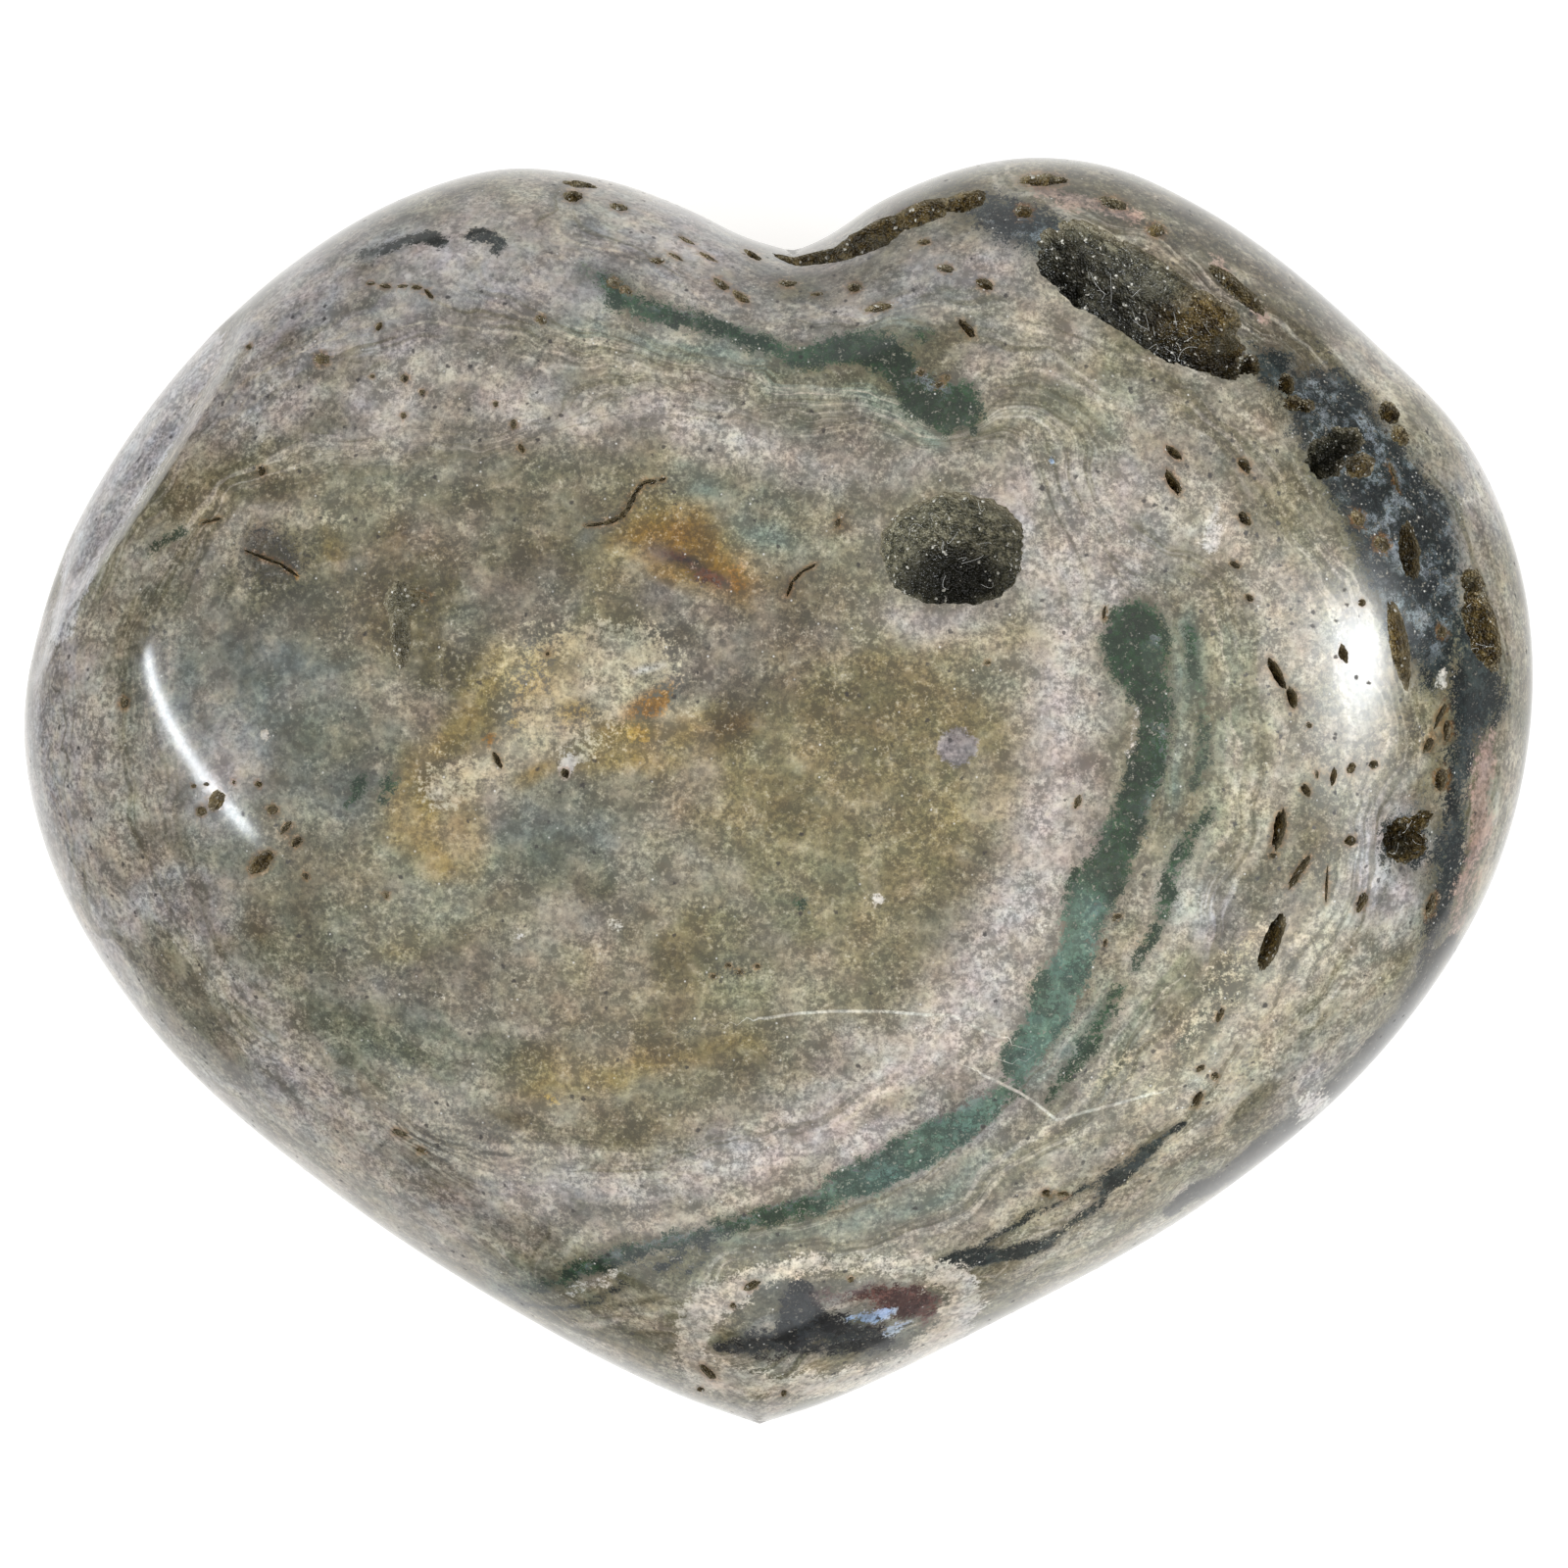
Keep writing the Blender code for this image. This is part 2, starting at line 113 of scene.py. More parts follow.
# The marks' names are those of the colours and surface fields below. All sizes are in millimetres.
# Rounded patches: across, up, half length, half width, turn in degrees, strength.
PATCHES = {
    "warm_olive": [
        (4.5, 0.4, 8.8, 7.8, 0, 1), (-1.8, -7.4, 7.8, 4.7, 10, 0.94), (-8, -11.1, 6.2, 3.1, 10, 0.81),
        (10.7, 6.1, 3.6, 4.7, 0, 0.68), (-10.1, 10.8, 4.7, 3.1, 0, 0.68), (-30.9, 16, 3.6, 3.1, 30, 0.54),
    ],
    "dark_olive": [
        (-26.8, 12.3, 2.6, 2.2, -20, 1), (-17.7, 10.3, 4.2, 3.2, 20, 1), (-8, 14.9, 2.1, 1.6, 30, 0.61),
        (-11.7, 12.9, 3.1, 2.6, 0, 0.74), (-4.9, -9.5, 3.1, 1, 10, 0.68), (3.4, 4.5, 3.1, 3.1, 0, 0.47),
        (-24.2, 10.8, 2.1, 2.1, 0, 0.54), (-14.3, -12.1, 7.3, 3.1, -12, 0.6), (-8, -10, 4.7, 2.1, 0, 0.4),
        (-17.4, 10.3, 2.1, 9.4, 0, 0.5), (-4.9, 8.7, 4.7, 3.1, 0, 0.5), (-17.4, 4.5, 2.1, 6.8, 0, 0.9),
        (-17.4, -10, 3.1, 2.6, 0, 1), (-9.1, -5.9, 3.1, 2.1, 0, 0.8), (-0.8, -14.5, 3.1, 1.8, 0, 0.7),
        (-29.9, 10.8, 2.6, 2.3, 0, 0.9), (-4.9, 10.8, 3.1, 2.1, 0, 0.8), (28.4, 10.8, 2.1, 1.6, 0, 0.6),
    ],
    "brown": [
        (0.3, 8.1, 1.7, 1.9, 0, 1), (-2.4, 3.7, 1.8, 1.7, 30, 1), (3.4, 14.2, 0.73, 0.62, 0, 0.81),
        (-5.4, -0.7, 2.6, 2.1, 0, 0.47), (-27, 16, 1.2, 0.94, 0, 0.61), (-19.5, 13.1, 2.3, 1.3, 10, 0.74),
        (-33.5, 8.2, 1.3, 2.1, 0, 0.47), (-27.3, -6.7, 0.73, 1.4, 30, 0.81), (25.8, 3.2, 1.6, 1.8, 0, 0.47),
        (11.2, 10.3, 3.1, 0.94, -20, 0.41), (-0.7, 8.9, 3.2, 2.4, 10, 0.7),
    ],
    "grey_blue": [
        (-28.3, 4.8, 6.2, 5.2, 0, 0.85), (-23.7, 0.9, 3.6, 3.6, 0, 0.75), (-29.6, -2.2, 3.1, 2.6, 0, 0.6),
        (-12.2, -2.2, 3.9, 2.2, 0, 0.8), (-25.7, 9.7, 3.1, 2.1, 0, 0.5), (5.5, -1.2, 1.6, 1.6, 0, 0.3),
        (10.7, 5.6, 1.6, 1.4, 0, 0.4), (-17.9, -12.6, 3.1, 2.1, 0, 0.45), (-8.8, 14.5, 1.4, 0.52, 40, 0.7),
        (-33, 10.8, 2.1, 1.6, 50, 0.4),
    ],
    "grey_green": [
        (-23.7, 3.5, 3.1, 2.6, 0, 0.6), (-13, -3.4, 2.6, 1.4, 0, 0.7), (-21.1, -13.2, 7.3, 3.1, -15, 0.65),
        (3.4, -4.8, 3.1, 2.1, 0, 0.4), (-4.9, -5.1, 4.2, 2.1, 0, 0.4), (-19, 17.5, 3.6, 1.6, 0, 0.6),
        (-12.2, 17, 2.1, 1.2, 0, 0.45), (-28.3, -4.8, 3.1, 2.6, 0, 0.35), (-24.7, -8, 3.6, 3.1, 0, 0.5),
        (-0.8, -8, 3.6, 4.2, 0, 0.5), (3.4, 19.1, 3.1, 2.3, 0, 1), (-17.4, 19.1, 2.6, 1.6, 0, 0.8),
    ],
    # Lavender grey: the stone's own colour inside the face, and painted rim sheen in the thin patches along
    # the outline.
    "lavender_grey": [
        (-16.4, 27.2, 12, 3.9, 12, 0.85), (-8, 29, 6.8, 3.1, -18, 0.75), (5.5, 26.9, 7.3, 3.1, 10, 0.7),
        (-1.8, 26.4, 3.1, 3.1, -30, 0.7), (-12.2, 22.2, 3.6, 3.1, 0, 0.5), (-5.4, 10.3, 1.8, 2.6, 0, 0.55),
        (-4.9, 6.6, 1.4, 1.6, 0, 0.55), (14.9, 26.4, 3.1, 2.1, -30, 0.4), (7.1, 17.5, 5.7, 2.1, 5, 0.45),
        (17.5, 12.9, 3.6, 4.2, 0, 0.55), (-10.1, -6.9, 2.1, 1.1, 0, 0.4), (23.2, 19.6, 3.6, 3.1, -30, 0.5),
        (1.8, 8.7, 2.1, 1.2, 0, 0.3), (-20.5, 26.4, 10.4, 3.1, 20, 0.9), (-5.4, 29, 5.7, 2.6, -20, 1),
        (-24.2, 22.7, 5.7, 2.1, 20, 0.7), (-26.3, 27.2, 4.7, 3.1, 40, 0.9), (37, 14.9, 1.8, 6.2, -20, 0.9),
        (31, 25.9, 6.8, 1.9, -40, 0.8), (-38.2, 5.6, 1.4, 6.2, 5, 0.6), (27.9, -19.4, 6.2, 1.2, 35, 0.6),
        (-28.3, -19.4, 7.3, 1.4, -38, 0.7),
    ],
    "pink": [
        (-20.5, 24.3, 5.7, 1.8, 8, 0.55), (-28.1, 22.6, 3.1, 1, 10, 0.6), (18.5, 15.5, 4.2, 3.6, 0, 0.6),
        (16.4, 11.3, 3.1, 3.1, 0, 0.6), (9.9, -14.2, 3.6, 1.7, 38, 0.9), (4.5, -13.7, 2.6, 1.2, 10, 0.75),
        (17.5, -18.9, 2.6, 0.73, 42, 0.6), (-8, -19.7, 4.7, 0.94, 12, 0.5),
        (-15.7, 30.3, 1.9, 0.62, 0, 0.6), (-0.7, -32.9, 1.8, 0.62, 0, 0.6), (13.8, 5.6, 2.1, 3.1, 0, 0.45),
        (19.5, 19.1, 2.1, 1.6, 0, 0.4), (8.1, 9.2, 3.1, 1.5, 0, 0.8), (12.3, 14.9, 2.1, 2.6, 0, 0.8),
    ],
    "beige": [
        (25.5, -13.2, 3.6, 1.4, 62, 0.75), (22.9, -16.3, 4.2, 1.2, 42, 0.8), (18.5, -20.9, 4.7, 1, 36, 0.8),
        (14.9, -23.7, 3.1, 0.94, 32, 0.7), (23.2, 10.8, 2.6, 1.5, -15, 0.7),
        (20.8, 20.1, 3.6, 1.2, -30, 0.5), (25.8, 12.9, 1.2, 2.6, 0, 0.5), (-19, 18.6, 3.1, 0.83, 5, 0.6),
        (-4.9, 19.1, 3.1, 0.73, 0, 0.6), (-24.2, 20.9, 3.1, 0.73, 10, 0.5), (10.7, 17, 3.6, 1.2, 0, 0.35),
        (-8, -15.3, 7.8, 0.62, 10, 0.55), (-12.2, 3.5, 4.7, 3.1, 20, 0.45), (11.2, -2.8, 2.1, 3.1, 0, 0.4),
        (5.6, 12.9, 0.83, 1.8, 0, 0.6), (26.3, 0.4, 2.1, 3.1, 0, 0.35), (24.7, -9, 1.6, 2.6, 0, 0.4),
        (22.7, 18.6, 4.7, 2.1, -50, 0.5), (14.9, 24.8, 3.1, 2.1, -20, 0.5),
        (20.1, -14.2, 2.6, 2.1, 30, 0.9), (15.9, -5.9, 2.1, 3.1, 0, 0.7), (24.2, 19.1, 2.6, 2.6, 0, 0.9),
    ],
    "pale_green": [
        (-18.3, -5.1, 2.2, 2.1, 60, 0.64), (17.3, 19.3, 0.83, 0.94, 0, 0.71),
        (-19.9, -7.7, 1.8, 0.83, 10, 0.38), (-4.9, 17.1, 1.4, 0.47, -20, 0.52),
        (18.5, 21.2, 2.6, 0.73, -30, 0.26), (27.8, -3.8, 1, 1.4, 0, 0.3), (26.3, 3.5, 1.4, 1.6, 0, 0.34),
        (15.4, 20.7, 2.1, 0.73, -20, 0.3), (1.3, -4.8, 2.1, 1.6, 0, 0.26),
    ],
    "teal_grey": [
        (-4.1, 15.7, 2.1, 1.1, -10, 0.75), (-0.7, 13.9, 1.6, 0.83, -18, 0.9), (-3, 13.6, 1.6, 1, -20, 0.6),
        (-16.9, 8.7, 1, 1.6, 0, 0.4), (5.5, 24.3, 1.4, 0.62, 10, 0.6), (7.1, 24, 1.4, 0.83, -20, 0.7),
        (0.3, 15.7, 1.4, 0.62, -20, 0.4), (21.1, 2.4, 0.73, 3.1, 0, 0.35),
    ],
    "ochre": [
        (-8.5, 3, 2.1, 0.88, 15, 0.95), (-8, 1.5, 2.9, 0.73, 3, 0.9), (-11.2, 4.3, 1.2, 0.83, 0, 0.6),
        (-13.1, 1, 1.1, 0.47, 8, 0.85), (-4.5, 12.8, 3.7, 1.7, -30, 1), (-23.9, 13, 0.57, 1.4, 5, 0.7),
        (-13, -16.3, 1.8, 0.83, 20, 0.75), (-20.5, -8.2, 1.6, 0.73, 10, 0.45),
        (8.9, -1.7, 2.1, 1.8, 0, 0.25), (-9.9, 1.9, 2.1, 0.62, 0, 0.5), (-0.2, 8.2, 0.73, 0.73, 0, 0.5),
        (14.8, -21.1, 0.88, 0.47, 0, 0.7), (-5.4, 3.7, 2.1, 1.1, 20, 0.8), (-8, 1.7, 3.1, 0.83, 3, 0.8),
        (-16.9, 3.5, 1.8, 1.1, 55, 0.7), (-9.1, -14.5, 3.3, 0.94, 0, 0.9), (-17.7, -2.2, 2.1, 2.9, 0, 0.9),
    ],
    "yellow": [
        (-7.4, 2.9, 0.83, 0.57, 10, 0.9), (-10.7, 4.1, 0.83, 0.52, 0, 0.55),
        (-12.2, -16.3, 0.83, 0.47, 0, 0.6), (-14.3, 3.7, 0.47, 0.36, 0, 0.5),
        (-13.5, 6.1, 2.9, 1.4, 30, 0.35),
    ],
    "cream": [
        (-7.9, 7.7, 2.1, 1.1, -18, 1), (-12.2, 7.4, 0.94, 0.78, 0, 0.9), (-7.2, 5.6, 0.73, 0.68, 0, 0.9),
        (-13.2, 4.9, 1.8, 1.6, 40, 0.8), (-10.9, 2.7, 2.6, 0.88, 5, 0.6), (-15.6, 1.1, 1.5, 0.68, 8, 0.85),
        (-17.9, 0.2, 1.3, 1.2, 0, 0.9), (-10.4, 1.9, 0.68, 0.52, 0, 0.9),
        (-23.8, 14.5, 0.88, 0.57, -20, 0.75), (-14.3, 5.6, 0.73, 1, 0, 0.6),
        (24.7, -14.5, 1.6, 0.47, 62, 0.6), (19.8, -19.9, 2.1, 0.42, 38, 0.6),
        (15.6, -23, 1.6, 0.42, 30, 0.5), (-9.7, 6.2, 4.1, 2.5, -15, 0.9), (-12.8, 4.4, 2, 1.8, 30, 0.75),
        (-17.7, 0.4, 1.7, 1.4, 0, 0.8), (-8.3, 7.9, 2.4, 1.1, -10, 1), (23.4, -10.7, 4.3, 1.1, 55, 0.6),
        (18, -14.5, 3.1, 1, 35, 0.5),
    ],
    "orange": [
        (-6.6, 4.6, 1.4, 0.62, 32, 0.9), (-15.4, 2.8, 0.47, 0.42, 30, 0.85),
        (-2.1, 10.8, 0.57, 0.52, 30, 0.95), (-6.8, 13.9, 0.73, 0.73, 40, 0.5),
        (-2.3, 11.6, 0.73, 0.73, -30, 0.6), (2.4, -25.5, 0.42, 0.21, 0, 1), (-25.6, 11.4, 0.13, 0.16, 0, 1),
    ],
    "rust": [
        (-3.7, 11.4, 1.6, 0.52, -25, 0.8), (-11.1, 5.8, 0.26, 0.31, 0, 0.8),
        (-13.8, 4.2, 0.26, 0.26, 0, 0.8), (-5.4, 12.5, 1.1, 0.47, -20, 0.6), (6.8, 30.9, 1, 0.42, 20, 0.7),
        (-1, -29.7, 2.3, 0.62, -8, 0.7),
    ],
    "amber_halo": [
        (-4.5, 12.5, 3.4, 1.6, -30, 1), (-6.8, 13.6, 1.4, 0.94, 20, 0.8),
    ],
    # Taupe: the stone's own colour, and painted shade in the patch in the cleft.
    "taupe_and_painted_cleft_shade": [
        (18.5, 28.4, 3.1, 1.2, -30, 0.6), (1.1, 27.2, 1.2, 2.5, 0, 0.75), (3.9, 28.4, 2.1, 0.73, 20, 0.6),
        (23.2, 28, 6.2, 2.6, -38, 0.8), (-16.9, -18.4, 3.6, 1.8, -15, 0.8),
        (-9.1, -22.5, 5.7, 0.94, 3, 0.6), (-17.4, 19.1, 2.6, 2.6, 0, 0.7), (8.6, -22.8, 3.6, 0.94, 25, 0.7),
        (-2.6, 8.2, 4.7, 3.6, 0, 0.6), (-9.1, 5.6, 2.6, 1.6, 0, 0.7), (-13.2, 10.3, 2.6, 2.1, 0, 0.7),
        (-17.4, -18.4, 3.6, 1.8, -10, 1), (11.7, -22.8, 3.6, 0.94, 25, 1), (24.2, -14.2, 2.3, 1.2, 40, 1),
        (24.2, 31.3, 3.6, 1.2, -10, 1), (-13.2, -23.1, 3.6, 1, -10, 0.8),
    ],
    "slate": [
        (33.4, -2.9, 1.5, 1.5, 0, 0.85), (23.7, 23.8, 2.6, 0.73, -30, 0.5),
        (36.7, 10.8, 0.73, 0.62, 0, 0.8), (12.5, 30.4, 2.7, 1.2, -15, 1), (26.3, 22.5, 1.6, 1, -40, 0.9),
        (14.6, 29.8, 1.6, 0.94, -25, 0.9),
    ],
    "green": [
        (1.2, -5.8, 0.42, 0.62, 60, 0.75), (-9.9, 3.9, 0.26, 0.26, 0, 0.7),
        (-20.1, 21.1, 0.16, 0.26, 0, 0.6), (21.9, 8.2, 0.42, 0.83, -10, 0.8),
    ],
    "orb_grey": [
        (-0.5, -27.8, 2.1, 1.4, 35, 0.95), (3.4, -29.4, 4.7, 1.6, 8, 0.9), (5.5, -27.5, 3.6, 1.6, 0, 0.9),
    ],
    "orb_tan": [
        (1.1, -30.8, 3.6, 0.68, 4, 0.8), (-2.8, -28, 0.73, 1, 30, 0.5),
    ],
    "orb_dark": [
        (3, -28.3, 1.6, 0.73, 10, 0.7), (2.6, -26.6, 1, 0.57, 10, 0.7), (6.8, -29.7, 1.1, 0.52, 25, 0.6),
        (1.2, -28, 1.4, 2, 0, 1), (3.8, -28.9, 2.7, 0.94, -8, 0.9),
    ],
    "orb_mauve": [
        (5.8, -26.7, 2.4, 0.57, 0, 0.95), (7.8, -27.7, 0.68, 0.94, 0, 0.75), (4.5, -27.1, 1, 0.42, 0, 0.5),
        (6.8, -27.2, 2, 0.83, -5, 1),
    ],
    "orb_blue": [
        (5, -27.9, 0.99, 0.26, 10, 1), (6.4, -28.4, 0.83, 0.21, 25, 0.8), (4.2, -29.1, 0.73, 0.16, 0, 0.6),
        (7.3, -28.1, 0.36, 0.21, 20, 0.7), (5.8, -28.9, 0.42, 0.16, 0, 0.6),
        (14.4, 17.6, 0.21, 0.47, 15, 1),
    ],
    "chalk": [
        (-11.3, 1.3, 0.47, 0.73, 0, 0.9), (-8.5, -7, 0.52, 0.36, 0, 0.8), (-13.9, -7.8, 0.31, 0.31, 0, 0.7),
        (5.4, -5.7, 0.47, 0.36, 0, 0.75), (-27.3, 2.9, 0.26, 0.36, 0, 0.9), (35.2, 5.9, 0.36, 0.57, 0, 0.9),
        (-18, -10.9, 0.47, 0.26, -15, 0.6), (28.4, -16.7, 0.94, 0.78, 20, 0.75),
        (14, -7.1, 0.21, 0.21, 0, 1), (6.3, 11.9, 0.21, 0.26, 0, 0.9), (-7, 6.6, 0.62, 0.21, 10, 0.6),
        (19.3, 29, 0.42, 0.21, 0, 0.6), (16.5, -4.7, 0.42, 0.31, 0, 0.5), (-4.9, -27.7, 0.62, 1, 0, 0.4),
        (10.2, -27.2, 0.62, 1.1, 0, 0.6), (0.7, -20.4, 0.26, 0.26, 0, 0.8),
        (3.1, -18.9, 0.47, 0.21, 10, 0.6), (-10.1, -26.3, 2.6, 0.36, 22, 0.6),
        (23, 14.4, 0.31, 1.1, -25, 0.75), (36.4, 15.5, 0.21, 0.21, 0, 0.8),
        (10.7, -26.3, 1.2, 0.31, -20, 0.5), (23.1, 13.5, 0.42, 0.88, -30, 0.9),
    ],
    "dark_spot_and_painted_rim_shade": [
        (-27, 12.5, 1.9, 1.5, -25, 0.55),
    ],
    "calm": [
        (-28.3, 4.5, 6.2, 5.7, 0, 0.7), (-12.2, -2.2, 3.6, 2.3, 0, 0.6), (-16.4, 27.2, 12.5, 4.2, 10, 0.6),
        (3.9, -28.3, 4.7, 2.1, 0, 0.8), (9.6, 2.4, 1.2, 1.4, 0, 0.8), (-8, 29, 6.2, 3.1, -10, 0.5),
        (5.5, 26.9, 7.3, 3.1, 0, 0.5), (36.7, 2.4, 1.6, 10.4, 0, 0.7),
    ],
    "lavender_spot": [
        (9.5, 2.4, 0.94, 1.2, 10, 1),
    ],
    "dull": [
        (30.5, 5.6, 3.1, 6.2, 0, 0.8), (27.4, 9.7, 3.1, 3.1, 0, 0.5), (31.5, -2.2, 3.1, 5.2, 0, 0.5),
        (23.7, -10, 5.2, 8.3, -30, 0.35), (-19, 20.1, 15.6, 3.1, 5, 0.35),
    ],
    "porous": [
        (28.9, 3, 4.7, 9.4, 0, 0.9), (33.6, 16, 4.2, 6.2, -30, 0.8), (22.7, 17, 5.7, 4.7, -30, 0.5),
        (-19.5, 20.1, 15.6, 2.6, 5, 0.5), (20.1, -16.8, 9.4, 3.1, 40, 0.6), (2.4, -28.3, 8.3, 3.6, 5, 0.7),
        (-29.4, -13.2, 3.1, 8.3, 40, 0.6), (20.1, 28.5, 7.3, 3.1, -30, 0.5), (5.5, 27.4, 7.3, 3.1, 0, 0.3),
        (-4.9, 28.5, 6.2, 2.6, -20, 0.3),
    ],
    # Drusy places: rougher, darker in the grain, and with more painted glints.
    "druse": [
        (-26.6, 12.2, 2.1, 1.8, -20, 0.8), (8.2, 21.8, 1, 0.68, -20, 1), (-6.1, 16.3, 0.62, 0.31, 20, 1),
        (-0.9, 15.4, 1.1, 0.42, -30, 0.8), (-0.2, 14.1, 0.94, 0.26, -15, 0.8),
        (-8.8, 27.1, 0.83, 0.47, -35, 0.9), (17.8, -6.5, 0.78, 0.57, 0, 0.9), (34, 3.4, 0.52, 0.52, 0, 0.9),
        (-4.9, 25.5, 1.6, 0.31, -12, 0.8), (-2.3, -9.6, 1.7, 0.26, 10, 0.8),
        (20.1, 8.4, 0.42, 0.42, 0, 0.9), (-21.7, -13.4, 0.42, 0.21, 0, 0.7),
        (-19.2, -9.6, 0.62, 0.21, 10, 0.7), (-6.4, 28.2, 0.42, 0.21, 0, 0.7), (-27, 12.5, 2.1, 1.7, 0, 0.8),
    ],
    # Sand: the stone's own pale colour, and painted light in the patches on the left, which lighten the lower
    # left.
    "sand": [
        (23.7, -13.2, 6.2, 2.9, 52, 0.9), (28.1, -9.3, 3.1, 4.2, -10, 0.75),
        (18, -19.9, 6.8, 1.4, 33, 0.75), (25.8, -0.7, 2.1, 5.7, -5, 0.5), (20.1, -15.8, 3.1, 1.4, 45, 0.6),
        (10.7, -23.3, 4.7, 0.62, 18, 0.5), (-30.9, -10.6, 4.7, 2.3, -42, 0.7),
        (-35.6, 0.4, 2.1, 5.7, 10, 0.35),
    ],
    "deep_green": [
        (4.5, 23.5, 2, 0.57, -15, 0.8), (7.5, 21.4, 1.8, 0.78, -45, 0.95),
        (9.6, 19.7, 0.94, 0.57, -40, 0.9), (19.6, 4.9, 0.62, 2.4, -5, 0.8), (19, 0.4, 0.62, 2.1, 8, 0.8),
        (17.4, -3.8, 0.73, 1.6, 20, 0.75), (15.9, -7.4, 0.62, 1.9, 5, 0.7), (19, 8.7, 0.94, 0.73, 0, 0.5),
        (-4.9, 24.8, 1.6, 0.31, -8, 0.6),
    ],
    # Painted shade: the walls of the hollows are painted darker over these patches.
    "deep": [
        (15.9, 27.2, 2.9, 2, -36, 1), (19, 24.6, 4.7, 1.4, -35, 1), (18.5, 26.4, 3.6, 1.9, -33, 0.75),
        (23.2, 22.6, 2.6, 0.73, -10, 1), (22.4, 24, 2.1, 1.2, -25, 0.45), (29.5, 17.9, 1.6, 1.2, 0, 1),
        (33.4, -2.7, 0.83, 0.78, 0, 0.8), (33.5, 12.8, 1.4, 0.52, -84, 0.7),
        (37.3, 8.2, 1.2, 0.73, -75, 0.5), (4.5, 29.3, 3.1, 0.42, 25, 0.6), (9.4, 11.2, 3.2, 1.2, 0, 1),
    ],
    # Pale lilac, partly the stone's own colour and partly painted reflection: a bright band painted over the
    # ground flats and along the rims.
    "pale_lilac": [
        (-24.2, 25.3, 5.7, 2.6, 25, 1), (-38.3, 3.5, 1.4, 6.2, 0, 0.9), (-33.5, -9.3, 1.8, 6.2, -47, 0.9),
        (-28.9, -13.9, 4.7, 1.8, -45, 0.8), (4.5, 28.1, 3.6, 1.4, 10, 0.7), (32.6, -4.3, 2.1, 3.6, 0, 0.9),
        (28.4, -6.9, 3.1, 3.1, 40, 0.6), (28.4, -14.7, 3.1, 1.6, 40, 0.7), (26.3, -4.8, 2.6, 2.6, 0, 0.4),
        (-25.7, 23.8, 6.2, 3.1, 35, 1), (-20.5, 27.4, 5.7, 2.1, 15, 1), (-38.2, 2.4, 1.8, 6.8, 0, 1),
        (-34.1, -8, 2.6, 5.7, -50, 1), (23.2, -6.4, 2.1, 3.1, 30, 0.8), (-30.9, 1.4, 3.6, 3.6, 0, 0.6),
        (-31.5, -10.6, 3.6, 3.1, -45, 0.5), (3.9, -26.7, 3.1, 0.83, 0, 0.5),
        (15.9, -16.3, 3.1, 1.4, 30, 0.6), (24.7, -10, 2.3, 1.8, 45, 0.8), (-18.2, -22.8, 2.1, 1, -30, 0.6),
        (-21.6, -10.6, 3.6, 1.6, 0, 0.4), (11.7, 12.9, 2.1, 3.1, 0, 0.5), (-37.7, -2.2, 2.1, 3.6, -20, 0.9),
        (8.6, -17.9, 6.8, 1.5, 24, 1), (5.5, 26.9, 5.7, 1.6, 10, 1), (11.7, 22.7, 2.6, 2.6, 0, 0.4),
        (-4.9, 28, 3.1, 1.6, -20, 1), (-29.9, -10.6, 3.1, 3.1, -45, 0.6),
    ],
    "deep_taupe": [
        (-2.6, 6.6, 3.2, 2.7, 0, 0.81), (-13.2, 10.8, 2.6, 2.3, 0, 0.74), (-15.3, 14.9, 3.1, 2.1, 0, 0.54),
        (3.4, 19.1, 2.3, 1.9, 0, 0.81), (24.2, 31.3, 3.1, 1, 0, 0.68), (-0.8, 10.8, 2.6, 1.9, 0, 0.61),
        (-17.4, -10, 2.4, 1.9, 0, 0.54), (-9.1, -13.9, 2.1, 1.2, 0, 0.34), (-0.8, -8, 2.6, 2.1, 0, 0.27),
        (-21.6, 2.4, 2.6, 2.6, 0, 0.4), (-29.9, -5.9, 2.1, 2.1, 0, 0.4), (-15.3, 17.5, 3.1, 2.6, 0, 0.35),
        (20.1, 6.1, 1.6, 2.6, 0, 0.35), (28.4, -1.7, 2.1, 2.1, 0, 0.35), (11.7, -22.8, 2.6, 0.83, 25, 0.5),
    ],
}
